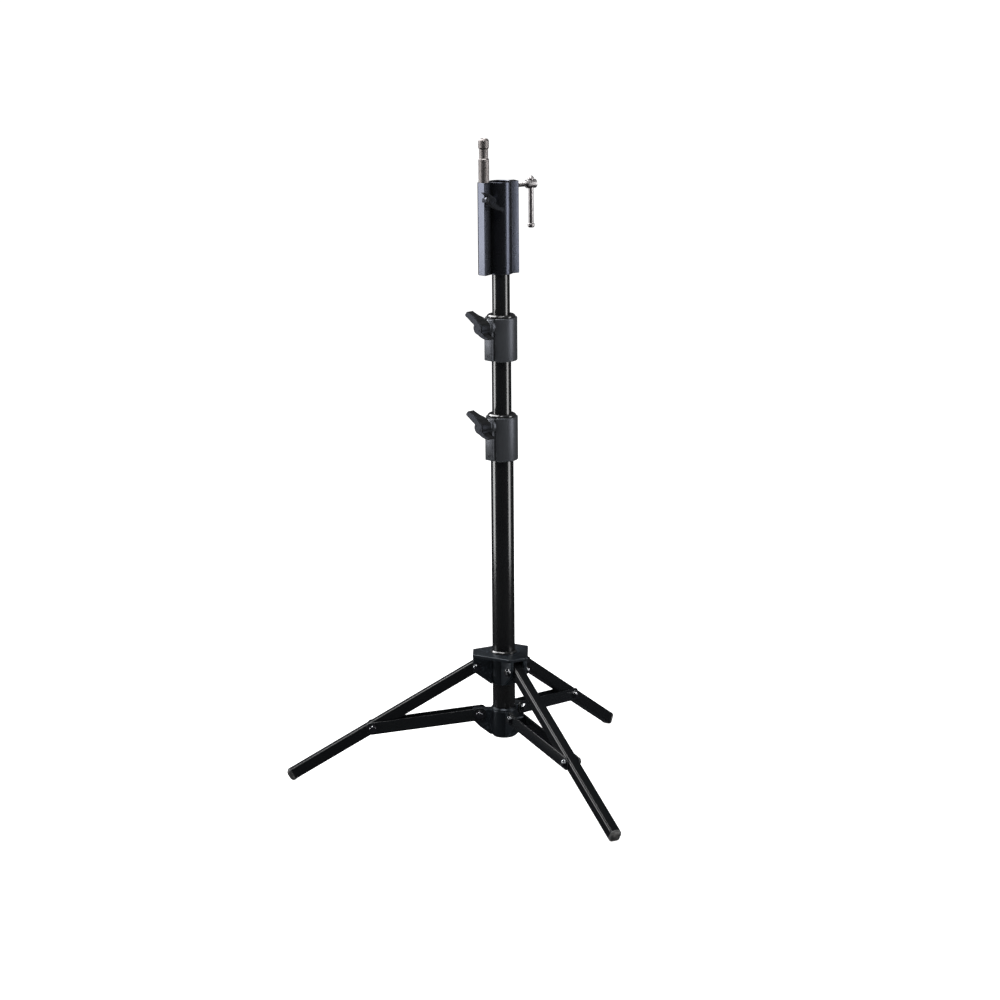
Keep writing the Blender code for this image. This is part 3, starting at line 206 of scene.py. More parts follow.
def rounded(corners, radii, steps=4, closed=True):
    """A polygon with an arc at each corner, its centre on the corner's bisector at radius / sin(half)."""
    corners = np.asarray(corners, float)
    radii = np.broadcast_to(np.asarray(radii, float), len(corners))
    out = []
    for i, (corner, radius) in enumerate(zip(corners, radii)):
        if radius <= 0 or (not closed and i in (0, len(corners) - 1)):
            out.append(corner[None])
            continue
        back, ahead = corners[i - 1] - corner, corners[(i + 1) % len(corners)] - corner
        back, ahead = back / np.linalg.norm(back), ahead / np.linalg.norm(ahead)
        half = math.acos(np.clip(back @ ahead, -1, 1)) / 2
        centre = corner + (back + ahead) / np.linalg.norm(back + ahead) * radius / math.sin(half)
        start = corner + back * radius / math.tan(half) - centre
        end = corner + ahead * radius / math.tan(half) - centre
        sweep = math.atan2(start[0] * end[1] - start[1] * end[0], start @ end)
        turn = np.linspace(0, sweep, steps + 1)
        out.append(centre + np.stack([start[0] * np.cos(turn) - start[1] * np.sin(turn),
                                      start[0] * np.sin(turn) + start[1] * np.cos(turn)], 1))
    return np.concatenate(out)


def inset(outline, distance):
    """An outline moved inward: each point goes along the mitre of its two neighbouring edges."""
    ahead = np.roll(outline, -1, 0) - outline
    ahead /= np.linalg.norm(ahead, axis=1, keepdims=True) + 1e-12
    inward = np.stack([-ahead[:, 1], ahead[:, 0]], 1)
    before = np.roll(inward, 1, 0)
    mitre = (inward + before) / np.maximum(1 + np.sum(inward * before, 1), 0.3)[:, None]
    return outline + mitre * np.asarray(distance).reshape(-1, 1)


def anticlockwise(outline):
    """The same outline, running anticlockwise, judged by its signed area."""
    x, y = outline.T
    area = np.sum(x * np.roll(y, -1) - y * np.roll(x, -1))
    return outline if area > 0 else outline[::-1]


def rim(low, high, edge):
    """(inset, height) rows of a plate whose two rims are quarter rounds."""
    turn = np.linspace(0, math.pi / 2, 4)
    up = np.stack([edge * (1 - np.sin(turn)), low + edge * (1 - np.cos(turn))], 1)
    down = np.stack([up[::-1, 0], low + high - up[::-1, 1]], 1)
    return np.concatenate([up, down])


def flat(outline, z):
    """An outline as a row at height z, which may differ from point to point."""
    return np.column_stack([outline, np.broadcast_to(z, len(outline))])


def plate(outline, low, high, edge):
    """An outline raised along z, its rims rounded by moving it inward."""
    outline = anticlockwise(np.asarray(outline, float))
    return skin(np.stack([flat(inset(outline, d), z) for d, z in rim(low, high, edge)]))


# %% [markdown]
# ## From arrays to an object
# A piece may be several closed shells that run into each other, as ribs run into a casting. Paint
# wears off first on outer corners, so each point gets a number called worn, from the angle between
# the two faces at its sharpest outward edge. The finishes read it.

# %% Make a mesh, mark its corners and hang it on a body


def column(items, name, kind, width=1):
    """One property of all faces, edges or loops of a mesh, as an array."""
    values = np.zeros(len(items) * width, kind)
    items.foreach_get(name, values)
    return values if width == 1 else values.reshape(-1, width)


def mark_corners(mesh):
    """Store worn: 0 on flat and hollow places, 1 where an outward edge turns by 28 degrees or more."""
    normals = column(mesh.polygons, "normal", np.float32, 3)
    centres = column(mesh.polygons, "center", np.float32, 3).astype(float)
    loops = column(mesh.loops, "edge_index", np.int32)
    owner = np.repeat(np.arange(len(mesh.polygons)), column(mesh.polygons, "loop_total", np.int32))
    order = np.argsort(loops, kind="stable")
    edge, face = loops[order], owner[order]
    pair = np.flatnonzero(edge[1:] == edge[:-1])
    one, two, edge = face[pair], face[pair + 1], edge[pair]
    bend = np.degrees(np.arccos(np.clip(np.sum(normals[one] * normals[two], 1), -1, 1)))
    outward = np.sum((centres[two] - centres[one]) * normals[one], 1) < 0
    amount = np.clip((bend - 15) / 13, 0, 1) * outward
    ends = column(mesh.edges, "vertices", np.int32, 2)
    worn = np.zeros(len(mesh.vertices), np.float32)
    np.maximum.at(worn, ends[edge, 0], amount)
    np.maximum.at(worn, ends[edge, 1], amount)
    mesh.attributes.new("worn", "FLOAT", "POINT").data.foreach_set("value", worn)


def piece(node, shells, finish, body, place=np.eye(4), sharp=32):
    """Join shells, carried to their place, into one object that rides on a body and stands for its node."""
    points, faces, start = [], [], 0
    for shell in shells:
        shell_points, shell_faces = placed(shell, place)
        points.append(shell_points)
        faces += [[corner + start for corner in face] for face in shell_faces]
        start += len(shell_points)
    mesh = bpy.data.meshes.new(node + "_finished")
    mesh.from_pydata(((np.concatenate(points) + (MAST_X, 0, 0)) * MM).tolist(), [], faces)
    bm = bmesh.new()
    bm.from_mesh(mesh)
    bmesh.ops.remove_doubles(bm, verts=bm.verts, dist=2e-6)
    bmesh.ops.recalc_face_normals(bm, faces=bm.faces)
    bm.to_mesh(mesh)
    bm.free()
    mesh.shade_smooth()
    mesh.set_sharp_from_angle(angle=math.radians(sharp))
    mark_corners(mesh)
    made = bpy.data.objects.new(node + "_finished", mesh)
    bpy.context.scene.collection.objects.link(made)
    mesh.materials.append(finish)
    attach(made, body)
    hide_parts(node)


# %% [markdown]
# ## Shader sums as Python
# A finish is mostly arithmetic on patterns. Wrapped in a small class, a socket takes part in
# ordinary sums: each + or * adds its own Math node. Colours go through Mix nodes.

# %% Wrap sockets and nodes


class Value:
    """A socket that takes part in sums."""

    def __init__(self, finish, socket):
        self.finish = finish
        self.socket = socket

    def sum(self, operation, first, second):
        return self.finish.node("ShaderNodeMath", {"operation": operation}, {0: first, 1: second})

    def __add__(self, other):
        return self.sum("ADD", self, other)

    def __radd__(self, other):
        return self.sum("ADD", other, self)

    def __sub__(self, other):
        return self.sum("SUBTRACT", self, other)

    def __mul__(self, other):
        return self.sum("MULTIPLY", self, other)


class Finish:
    """A material with one Principled shader, and the calls that add nodes to it."""

    def __init__(self, name, **fixed):
        self.material = bpy.data.materials.new(name)
        self.material.use_nodes = True
        self.nodes = self.material.node_tree.nodes
        self.links = self.material.node_tree.links
        self.shader = self.nodes["Principled BSDF"]
        for socket, value in fixed.items():
            self.shader.inputs[socket.replace("_", " ")].default_value = value
        self.place = self.node("ShaderNodeTexCoord", {}, {}, "Object")

    def feed(self, socket, value):
        """Put a number, a colour or another node's output into a socket."""
        if isinstance(value, Value):
            self.links.new(value.socket, socket)
        else:
            socket.default_value = value

    def node(self, kind, settings, sockets, output=0):
        """Add a node: its settings first, then its sockets, and hand back one output."""
        made = self.nodes.new(kind)
        for name, value in settings.items():
            setattr(made, name, value)
        for socket, value in sockets.items():
            self.feed(made.inputs[socket], value)
        return Value(self, made.outputs[output])

    def noise(self, scale, detail=3.0, stretch=(1, 1, 1)):
        """Noise on Object coordinates, in cells per metre, from 0 to 1."""
        place = self.node("ShaderNodeMapping", {}, {"Vector": self.place, "Scale": stretch})
        return self.node("ShaderNodeTexNoise", {}, {"Vector": place, "Scale": scale, "Detail": detail})

    def ramp(self, value, low, high):
        """0 below low, 1 above high, and straight between."""
        return self.node("ShaderNodeMapRange", {}, {"Value": value, "From Min": low, "From Max": high})

    def mix(self, amount, first, second):
        """One colour turning into another."""
        return self.node("ShaderNodeMix", {"data_type": "RGBA"}, {0: amount, 6: first, 7: second}, 2)

    def worn(self):
        """The corner mark, broken up so that it shows only in patches."""
        mark = self.node("ShaderNodeAttribute", {"attribute_name": "worn"}, {}, "Fac")
        return mark * self.ramp(self.noise(420.0, 4.0), 0.52, 0.66)

    def finish(self, colour, roughness, bump=None, strength=0.2, distance=0.0002):
        """Wire what changes over the surface into the shader."""
        self.feed(self.shader.inputs["Base Color"], colour)
        self.feed(self.shader.inputs["Roughness"], roughness)
        if bump is not None:
            normal = self.node("ShaderNodeBump", {},
                               {"Height": bump, "Strength": strength, "Distance": distance})
            self.links.new(normal.socket, self.shader.inputs["Normal"])
        return self.material


def grey(level, warm=0.0):
    """A grey with a little more red or, below zero, more blue."""
    return (level * (1 + warm), level, level * (1 - warm), 1)


# %% [markdown]
# ## Gloss black tube
# The tubes and legs are steel with a smooth powder coat. It draws each lamp as a thin line, but a
# close look shows a faint orange peel, made by fine noise, and scuffs along the tube where pieces
# have slid, made by noise stretched along z.

# %% Tube and strap paint


def tube_paint(name, level, roughness, tint, scuffs, index=1.5):
    paint = Finish(name, IOR=index)
    cloud = paint.noise(18.0, 3.0)
    scuff = paint.ramp(paint.noise(700.0, 2.0, (1, 1, 0.04)), 0.66, 0.8)
    scuff = scuff * paint.ramp(paint.noise(20.0, 2.0), 0.5, 0.7) * scuffs
    worn = paint.worn()
    colour = paint.mix(cloud, grey(level * 0.8, tint), grey(level * 1.25, tint))
    colour = paint.mix(worn * 0.4 + scuff * 0.25, colour, grey(0.1))
    peel = paint.noise(420.0, 2.0) * 0.7 + paint.noise(1700.0, 2.0) * 0.3
    return paint.finish(colour, roughness + scuff * 0.1 + cloud * 0.04 + worn * 0.1, peel, 0.05, 0.0003)


TUBE_BLACK = tube_paint("gloss_black_tube", 0.004, 0.17, -0.05, 0.6)
LEG_BLACK = tube_paint("gloss_black_leg", 0.003, 0.19, -0.12, 0.2, 1.34)
STRAP_BLACK = tube_paint("black_strap", 0.004, 0.22, -0.14, 0.2, 1.34)

# %% [markdown]
# ## Satin black casting
# The collars, the hub and the head are cast and then painted. The grain of the casting shows
# through the paint as a fine pebble of two sizes of noise. A slow noise shifts the tone a little,
# and the outer corners have rubbed to a lighter grey. The hub and the brace collar take a much
# darker copy of this paint, which is painted shade for the dimmer light low on the stand.

# %% Casting paint


def cast_paint(name, level, roughness, tint, shine, index=1.5):
    paint = Finish(name, IOR=index, Specular_Tint=shine)
    cloud = paint.noise(26.0, 4.0)
    grain = paint.noise(1300.0, 3.0)
    worn = paint.worn()
    speck = paint.ramp(grain, 0.58, 0.72)
    colour = paint.mix(cloud, grey(level * 0.85, tint), grey(level * 1.15, tint))
    colour = paint.mix(speck * 0.3, colour, grey(level * 1.8, tint))
    colour = paint.mix(worn * 0.4, colour, grey(level + 0.09, tint))
    pebble = grain * 0.6 + paint.noise(480.0, 3.0) * 0.4
    return paint.finish(colour, roughness + cloud * 0.08 - worn * 0.12, pebble, 0.28, 0.0004)


COLLAR_BLACK = cast_paint("satin_black_collar", 0.021, 0.33, -0.07, (0.56, 0.59, 0.70, 1))
# The hub's paint is the collar's paint made far darker: painted shade for the weaker light near the floor.
LOW_CASTING_SHADED_BLACK = cast_paint("satin_black_low_casting_shaded", 0.004, 0.28, -0.22, (0.80, 0.88, 1, 1), 1.36)
HEAD_BLACK = cast_paint("satin_black_head", 0.003, 0.23, -0.05, (0.66, 0.72, 0.96, 1), 1.56)

# %% [markdown]
# ## Plastics and rubber
# The wing levers are moulded nylon with a slightly waxy shine. The rings that line each joint are
# glossier, because tubes polish them. The feet are dull rubber, dusty and scraped underneath.

# %% Nylon, ring, plug and rubber


def moulded(name, level, roughness, grain, strength, dust=0.0, index=1.49, shine=(1, 1, 1, 1)):
    plastic = Finish(name, IOR=index, Specular_Tint=shine)
    cloud = plastic.noise(60.0, 3.0)
    fine = plastic.noise(grain, 2.0)
    worn = plastic.worn()
    colour = plastic.mix(cloud, grey(level * 0.85, -0.04), grey(level * 1.15, -0.02))
    colour = plastic.mix(worn * 0.4, colour, grey(level * 3.0))
    if dust:
        dusty = plastic.ramp(plastic.noise(140.0, 5.0), 0.48, 0.72) * dust
        colour = plastic.mix(dusty, colour, grey(0.11, 0.08))
    return plastic.finish(colour, roughness + cloud * 0.08 - worn * 0.06, fine, strength, 0.0003)


LEVER_NYLON = moulded("satin_black_nylon", 0.006, 0.32, 1500.0, 0.08,
                      index=1.18, shine=(0.60, 0.68, 0.95, 1))
RING_PLASTIC = moulded("glossy_black_ring", 0.014, 0.10, 700.0, 0.03)
PLUG_PLASTIC = moulded("black_moulding", 0.012, 0.32, 900.0, 0.10)
FOOT_RUBBER = moulded("black_rubber", 0.012, 0.55, 800.0, 0.35, 0.35)

# %% [markdown]
# ## Bare metals
# The bolts are dull zinc. The stud and the sliding bar are dark polished steel, the clamp screw is
# slightly frosted, the small headless screws are blackened and the clamp shoes are brass. Each is
# one mix of two tones and a faint streak.

# %% Zinc, steel and brass


def bare_metal(name, light, dark, roughness, streaks, stretch=(1, 1, 1), drawn=0.0):
    metal = Finish(name, Metallic=1.0, Anisotropic=drawn)
    cloud = metal.noise(170.0, 4.0)
    streak = metal.noise(streaks, 3.0, stretch)
    colour = metal.mix(metal.ramp(cloud, 0.35, 0.7), light, dark)
    shine = roughness + cloud * 0.10 + metal.ramp(streak, 0.5, 0.8) * 0.08
    return metal.finish(colour, shine, streak, 0.04, 0.0001)


ALONG_TUBE = (1, 1, 0.05)
ZINC = bare_metal("dull_zinc", (0.30, 0.30, 0.31, 1), (0.18, 0.19, 0.20, 1), 0.14, 1500.0)
STEEL = bare_metal("drawn_steel", (0.16, 0.148, 0.145, 1), (0.135, 0.122, 0.118, 1), 0.36, 1400.0,
                   ALONG_TUBE, 0.85)
NICKEL = bare_metal("frosted_nickel", (0.26, 0.25, 0.25, 1), (0.19, 0.185, 0.185, 1), 0.36, 1400.0)
BAR_STEEL = bare_metal("bright_bar_steel", (0.26, 0.245, 0.245, 1), (0.21, 0.20, 0.20, 1), 0.34, 1400.0,
                       ALONG_TUBE)
OXIDE = bare_metal("black_oxide", (0.014, 0.014, 0.016, 1), (0.008, 0.008, 0.010, 1), 0.25, 1500.0)
BRASS = bare_metal("turned_brass", (0.72, 0.52, 0.22, 1), (0.52, 0.36, 0.14, 1), 0.26, 1600.0)

# %% [markdown]
# ## The mast's tubes
# Each is a plain round tube, and what sells it is a clean highlight. The CAD tube has flat sides,
# which a mirror finish would show, so this one has 112, with a small round on both cut ends.

# %% Turn the three tubes
ROUND = 112
CLEARANCE = 0.3


def tube(node, wall, body):
    """A tube's ring of wall, carried round z between its ends. Hands back the outer radius."""
    low, high = span(node)
    radius = (high[0] - low[0]) / 2
    ring = rounded(rectangle(radius - wall, low[2], radius, high[2]), 0.35, 3)
    piece(node, [turned(ring, ROUND, True)], TUBE_BLACK, body)
    return radius


LOWER_RADIUS = tube("lower_tube", 1.8, "mast")
MID_RADIUS = tube("mid_tube", 1.1, "mid_riser")
TOP_RADIUS = tube("top_tube", 1.2, "top_riser")
LOWER_BORE, MID_BORE, TOP_BORE = (outer + CLEARANCE for outer in (LOWER_RADIUS, MID_RADIUS, TOP_RADIUS))

# %% [markdown]
# ## Plug in the mast's foot
# A moulded plug closes the tube's lower end. Its flange is as wide as the tube and its underside is
# dished, with the small dimple that a mould's gate leaves in the middle.

# %% Turn the plug
SPIGOT = 15.4
low, high = height("lower_tube_plug")
dish = [(0.0, low + 1.6), (2.0, low + 1.6), (3.2, low + 0.9), (13.2, low + 0.5), (14.2, low)]
flange = [(LOWER_RADIUS, low), (LOWER_RADIUS, low + 3.0), (SPIGOT, low + 3.0), (SPIGOT, high), (0.0, high)]
plug = rounded(dish + flange, [0, 0, 0.4, 0.5, 0.4, 0.8, 0.3, 0, 0.5, 0], 3, closed=False)
piece("lower_tube_plug", [turned(plug, 72)], PLUG_PLASTIC, "mast")

# %% [markdown]
# ## Lip rings
# A plastic ring lines the mouth of each sliding joint. What shows is its lip, whose sloping
# shoulder catches the overhead light as a short bright arc.

# %% Turn the lip rings
RING_SEAT = 18.6
RING_SLEEVE = 18.3
LIP_HEIGHT = 4.0


def lip_ring(node, bore, body, outer):
    """A sleeve below the seat and a lip above it, whose shoulder slopes at 50 degrees."""
    seat = height(node)[1] - LIP_HEIGHT
    top, foot, under = seat + LIP_HEIGHT, seat - 3.7, seat + 0.3
    crest = max(bore + 0.7, outer - 2.0)
    shoulder = top - (outer - crest) / math.tan(math.radians(50))
    profile = rounded([(bore, foot), (RING_SLEEVE, foot), (RING_SLEEVE, under), (outer, under),
                       (outer, shoulder), (crest, top), (bore, top)], [0.2, 0.2, 0, 0.2, 0.3, 0.3, 0.2], 4)
    piece(node, [turned(profile, ROUND, True)], RING_PLASTIC, body)


lip_ring("lower_collar_ring", MID_BORE, "mast", 21.6)
lip_ring("upper_collar_ring", TOP_BORE, "mid_riser", 21.6)
lip_ring("hub_glide_ring", LOWER_BORE, "hub", 20.4)

# %% [markdown]
# ## Screws, bolts and nuts
# A hexagon is a circle whose radius depends on direction: half the width across flats over the
# cosine of the angle to the nearest flat. The smaller of that and a cone gives a bolt head's turned
# corners. A thread's radius depends on height too, in a spiral.

# %% Hexagons, sockets and threads


def flat_distance(angle, across):
    """A hexagon's radius in each direction."""
    return across / 2 / np.cos((angle + math.pi / 6) % (math.pi / 3) - math.pi / 6)


def hexagon(across, low, high, chamfer, dome=0.25):
    """A bolt head along z, its corners turned down by a cone of chamfer millimetres at the outer end."""
    heights = np.array([low, low, high - 3 * chamfer, high - 2 * chamfer, high - chamfer, high, high + dome])
    cone = np.array([0, 1.2, 1.2, 1.14, 1.07, 0.99, 0.62]) * across / 2
    return round_body(np.minimum(flat_distance(around(72), across), cone[:, None]), heights[:, None])


def thread(radius, low, high, pitch, depth, columns=32, per_turn=8):
    """A threaded rod: the radius falls by the thread's depth, a triangle wave of height less angle."""
    z = np.linspace(low, high, max(4, int((high - low) / pitch * per_turn)))[:, None]
    wave = np.abs(((z / pitch - around(columns) / math.tau) % 1) * 2 - 1)
    ends = np.clip(np.minimum(z - low, high - z) / pitch, 0, 1)
    return round_body(radius - depth * (1 - wave * ends) * (0.2 + 0.8 * ends) - 0.5 * depth * (1 - ends), z)


def set_screw(node, low, high, body, place):
    """A headless screw along z: a rod whose outer end has a hexagonal socket."""
    socket = flat_distance(around(48), 2.5)
    rod = 0 * socket + 2.5
    radii = [0 * rod, rod - 0.4, rod, rod, rod - 0.4, np.minimum(socket * 1.08, rod - 0.5),
             socket, socket, 0.1 * socket]
    heights = [low, low, low + 0.4, high - 0.4, high, high, high - 0.15, high - 2.0, high - 2.4]
    piece(node, [round_body(np.array(radii), np.array(heights)[:, None])], OXIDE, body, place)


# %% [markdown]
# ## Pivot bolts
# Each leg turns on a bolt through the hub, and each pair of braces on a bolt through the collar.
# One end has a hexagonal head, the other a locking nut with its nylon collar and the thread's end.

# %% Place the bolts
BOLT_RADIUS = 2.95
ACROSS_FLATS = 10.0
HUB_GRIP = 14.9
STRAP_IN = 8.8
STRAP_OUT = 10.6


def bolt_end(seat, nut):
    """What shows at one end of a bolt: a washer, then a head or a locking nut, running up z."""
    face, top = seat + 1.4, seat + 5.1
    washer = rounded(rectangle(2.8, seat, 6.75, face), 0.25, 2)
    shells = [turned(washer, 56, True)]
    if not nut:
        return shells + [hexagon(ACROSS_FLATS, face, top, 0.45)]
    collar = rounded(rectangle(2.6, seat + 3.6, 4.5, top), [0, 0, 0.6, 0.2], 3)
    return shells + [hexagon(ACROSS_FLATS, face, seat + 4.0, 0.45, 0.0), turned(collar, 48, True),
                     thread(2.9, seat + 3.0, seat + 5.4, 1.0, 0.3)]


def shank(low, high):
    return turned([(BOLT_RADIUS, low), (BOLT_RADIUS, high)], 40)


def pivot_bolt(node, grip, body, place):
    """A bolt along z: its shank and two dressed ends."""
    seat = grip + CLEARANCE
    shells = [shank(-seat - 1, seat + 1), *bolt_end(seat, True)]
    shells += [placed(shell, FLIP) for shell in bolt_end(seat, False)]
    piece(node, shells, ZINC, body, place)


for number in LEGS:
    pivot_bolt(f"leg_pivot_bolt_{number}", HUB_GRIP, "hub", leg_frame(number, 0.0) @ ACROSS)
    pivot_bolt(f"brace_collar_bolt_{number}", STRAP_OUT, "mast", brace_frame(number, 0.0) @ ACROSS)
    for label, turn in (("left", ACROSS), ("right", UPRIGHT)):
        seat = STRAP_OUT + CLEARANCE
        shells = [shank(STRAP_IN, seat + 1), *bolt_end(seat, label == "right")]
        piece(f"brace_joint_bolt_{number}_{label}", shells, ZINC, f"brace_{number}",
              brace_frame(number) @ shifted(BRACE_LENGTH) @ turn)

# %% [markdown]
# ## Legs
# A leg is a square steel tube with rounded corners. Its section is a rounded rectangle carried
# along x, out along the outside and back along the inside, so the open top end has a real wall.

# %% Sweep the legs


def box_rows(stations, corner_steps=5):
    """Rounded rectangles across x. Each station is (x, half width, half depth, corner radius)."""
    rows = []
    for x, width, depth, corner in stations:
        outline = rounded(rectangle(-width, -depth, width, depth), corner, corner_steps)
        rows.append(np.column_stack([np.full(len(outline), x), outline]))
    return np.stack(rows)


LEG_TAIL = -11.0
LEG_HALF = (8.5, 9.0)
LEG_WALL = 1.5
LEG_CORNER = 3.0
FOOT_START = LEG_REACH - 5.5


def leg_tube():
    """Outer skin, the two rounded ends and the inner skin, as one ring of rows.

    A row just inside each end keeps the mark of the worn rim off the long sides.
    """
    width, depth = LEG_HALF
    ease = [(0.3, 0.0), (0.1, 0.1), (0.0, 0.3), (0.0, 2.0)]
    outer = [(LEG_TAIL + x, width - d, depth - d, LEG_CORNER - d) for d, x in ease]
    outer += [(FOOT_START - x, width - d, depth - d, LEG_CORNER - d) for d, x in ease[::-1]]
    inner = [(x, width - LEG_WALL, depth - LEG_WALL, LEG_CORNER / 2) for x in (FOOT_START, LEG_TAIL)]
    return skin(box_rows(outer + inner, 7), True)


for number in LEGS:
    piece(f"leg_tube_{number}", [leg_tube()], LEG_BLACK, f"leg_{number}", leg_frame(number))

# %% [markdown]
# ## Rubber feet
# Each foot is a moulded plug pushed into the leg. Its head is a little wider than the tube, with
# a grip groove and a rounded nose, and it has worn flat where it meets the floor. The flat is
# made by raising every point below the floor up to it.

# %% Sweep the feet


def foot():
    """Rows of rounded rectangles: spigot, shoulder, one groove and a nose closed by a quarter ellipse."""
    width, depth = LEG_HALF
    start = FOOT_START + CLEARANCE
    tip = LEG_REACH + 2.6
    full = (width, depth + 0.7, 4.2)
    waist = (width - 0.4, depth + 0.3, 3.8)
    stations = [(start - 16, width - 2.0, depth - 2.0, 1.2), (start, width - 1.8, depth - 1.8, 1.2)]
    for x, section in ((0.0, waist), (0.4, full), (1.8, full), (2.0, waist), (2.5, waist), (2.7, full)):
        stations.append((start + x, *section))
    nose = tip - start - 2.8
    for turn in np.linspace(0, math.pi / 2, 9):
        cut = 1 - math.cos(turn)
        stations.append((tip - nose + nose * math.sin(turn),
                         full[0] - 4.4 * cut, full[1] - 7.6 * cut, 4.4 - 3.0 * cut))
    return skin(box_rows(stations))


for number in LEGS:
    points, faces = placed(foot(), leg_frame(number))
    points = np.column_stack([points[:, :2], np.maximum(points[:, 2], 0)])
    piece(f"foot_plug_{number}", [(points, faces)], FOOT_RUBBER, f"leg_{number}")

# %% [markdown]
# ## Braces
# Two flat steel straps run from the collar to each leg, one on each side of it. They are blanked
# from strip, so the ends are round and the rims carry only a slight round from the paint.

# %% Blank the straps
STRAP_HALF = 9.75
STRAP_END = 10.5
strap = rounded(rectangle(-STRAP_END, -STRAP_HALF, BRACE_LENGTH + STRAP_END, STRAP_HALF), 8.0, 8)
for number in LEGS:
    for label, faces in (("left", (-STRAP_OUT, -STRAP_IN)), ("right", (STRAP_IN, STRAP_OUT))):
        piece(f"brace_strap_{number}_{label}", [plate(strap, *faces, 0.45)], STRAP_BLACK,
              f"brace_{number}", brace_frame(number) @ UPRIGHT)

# %% [markdown]
# ## Brace collar
# The casting at the mast's foot is a sleeve with three lugs. The sleeve is one turned profile with
# a hollow where it meets its lip. Each lug is a flat outline with rounded rims, set upright.

# %% Cast the collar
INSIDE = 17.6
LUG_HALF = 8.5
low, high = height("brace_collar")
top = high - 4.0
sleeve = rounded([(LOWER_BORE, low), (19.6, low), (21.0, low + 20), (21.0, top - 1.2), (20.4, top - 0.2),
                  (20.4, top + 1.6), (18.4, high), (LOWER_BORE, high)],
                 [0.4, 1.8, 6, 0.8, 0.4, 0.6, 0.7, 0.3], 4)
lug = rounded([(INSIDE, low + 1.5), (21.6, low + 1.5), (38, low + 14), (50, BRACE_PIVOT_HEIGHT - 8),
               (50, top), (INSIDE, top)], [0, 0, 12, 6, 5, 0], 6)
shells = [turned(sleeve, ROUND, True)]
for azimuth in LEGS.values():
    shells.append(placed(plate(lug, -LUG_HALF, LUG_HALF, 0.9), arm(azimuth) @ UPRIGHT))
# The collar takes the darker, shaded copy of the casting paint: painted shade.
piece("brace_collar", shells, LOW_CASTING_SHADED_BLACK, "mast")

# %% [markdown]
# ## Leg hub
# The hub slides on the mast and carries the legs: a six-sided plate over a tapering sleeve, two
# cheeks for each leg and a boss for the locking knob. The plate's corners are found by crossing
# neighbouring lines at known distances from the mast.

# %% Cast the hub
FLAT_AT_LEG = 47.9
FLAT_BETWEEN = 37.8
SCREW_BORE = 4.3
low, top = height("leg_hub")
plate_low, ring_seat = top - 5.0, top - LIP_HEIGHT
flats = [((azimuth + extra) % 360, distance) for azimuth in LEGS.values()
         for extra, distance in ((0, FLAT_AT_LEG), (60, FLAT_BETWEEN))]
angles, reach = np.array(sorted(flats)).T
lines = np.stack([np.cos(np.radians(angles)), np.sin(np.radians(angles))], 1)
corners = [np.linalg.solve(lines[[i, (i + 1) % 6]], reach[[i, (i + 1) % 6]]) for i in range(6)]
sleeve = rounded([(LOWER_BORE, low), (20.0, low), (22.0, low + 13.7), (22.0, plate_low - 3.0),
                  (26.0, plate_low + 1.0), (26.0, top - 1.0), (RING_SEAT, top - 1.0), (RING_SEAT, ring_seat),
                  (LOWER_BORE, ring_seat)], [0.4, 1.2, 4, 3, 0, 0, 0, 0.2, 0.3], 4)
cheek = rounded([(INSIDE, low + 1), (20.0, low + 1), (47.5, HUB_PIVOT_HEIGHT - 6.5), (47.5, top - 2.5),
                 (INSIDE, top - 2.5)], [0, 0, 4, 0, 0], 6)
plate_outline = anticlockwise(rounded(corners, 2.0, 5))


def holed_plate(outline, bore, low, high, edge):
    """A plate with a round hole: rim rows outside, and a circle of as many points inside."""
    angle = np.arctan2(outline[:, 1], outline[:, 0])
    hole = np.stack([bore * np.cos(angle), bore * np.sin(angle)], 1)
    rows = [flat(inset(outline, d), z) for d, z in rim(low, high, edge)]
    return skin(np.stack([*rows, flat(hole, high), flat(hole, low)]), True)


def densified(outline, spacing):
    """The same outline with points no further apart than spacing, found along its length."""
    closed = np.vstack([outline, outline[:1]])
    length = np.r_[0, np.cumsum(np.linalg.norm(np.diff(closed, axis=0), axis=1))]
    extra = np.arange(0, length[-1], spacing)
    at = np.unique(np.round(np.r_[length[:-1], extra], 6))
    return np.stack([np.interp(at, length, closed[:, 0]), np.interp(at, length, closed[:, 1])], 1)


shells = [turned(sleeve, ROUND, True),
          holed_plate(densified(plate_outline, 2.5), RING_SEAT, plate_low, top, 0.8)]
for azimuth in LEGS.values():
    for faces in ((8.9, HUB_GRIP), (-HUB_GRIP, -8.9)):
        shells.append(placed(plate(cheek, *faces, 0.8), arm(azimuth) @ UPRIGHT))
knob_place = facing(KNOB_AZIMUTH, HUB_PIVOT_HEIGHT - 4.0)
boss = rounded([(SCREW_BORE, 19), (10.5, 19), (10.5, 22.0), (8.5, 24.5), (8.5, 31), (SCREW_BORE, 31)],
               [0, 0, 1.0, 2.0, 0.8, 0.3], 4)
shells.append(placed(turned(boss, 64, True), knob_place))
# The hub takes the darker, shaded copy of the casting paint: painted shade.
piece("leg_hub", shells, LOW_CASTING_SHADED_BLACK, "hub")

# %% [markdown]
# ## Locking knob
# The knob behind the hub has six lobes. Its radius is a cosine of the direction, six times round,
# and the lobes fade out towards the neck and the rounded outer rim.

# %% Mould the knob


def lobed(stations, foot, lobes=6, columns=96):
    """Rows of (height, radius, lobe depth): the radius falls by the depth between lobes."""
    z, radius, depth = np.array(stations).T[:, :, None]
    return round_body(radius - depth * (0.5 - 0.5 * np.cos(lobes * around(columns))) ** 1.5, foot + z)


knob = [(0.0, 7.0, 0), (0.6, 7.7, 0), (8.4, 7.7, 0), (9.4, 8.4, 0.1), (10.6, 11.0, 0.9), (11.8, 12.2, 1.6),
        (13.5, 12.5, 1.75), (23.0, 12.5, 1.75), (24.8, 12.1, 1.5), (25.8, 10.9, 0.9), (26.0, 9.6, 0.3),
        (26.0, 6.2, 0), (25.2, 5.8, 0), (25.0, 5.4, 0)]
piece("hub_knob", [lobed(knob, 31.3)], PLUG_PLASTIC, "hub_knob", knob_place)

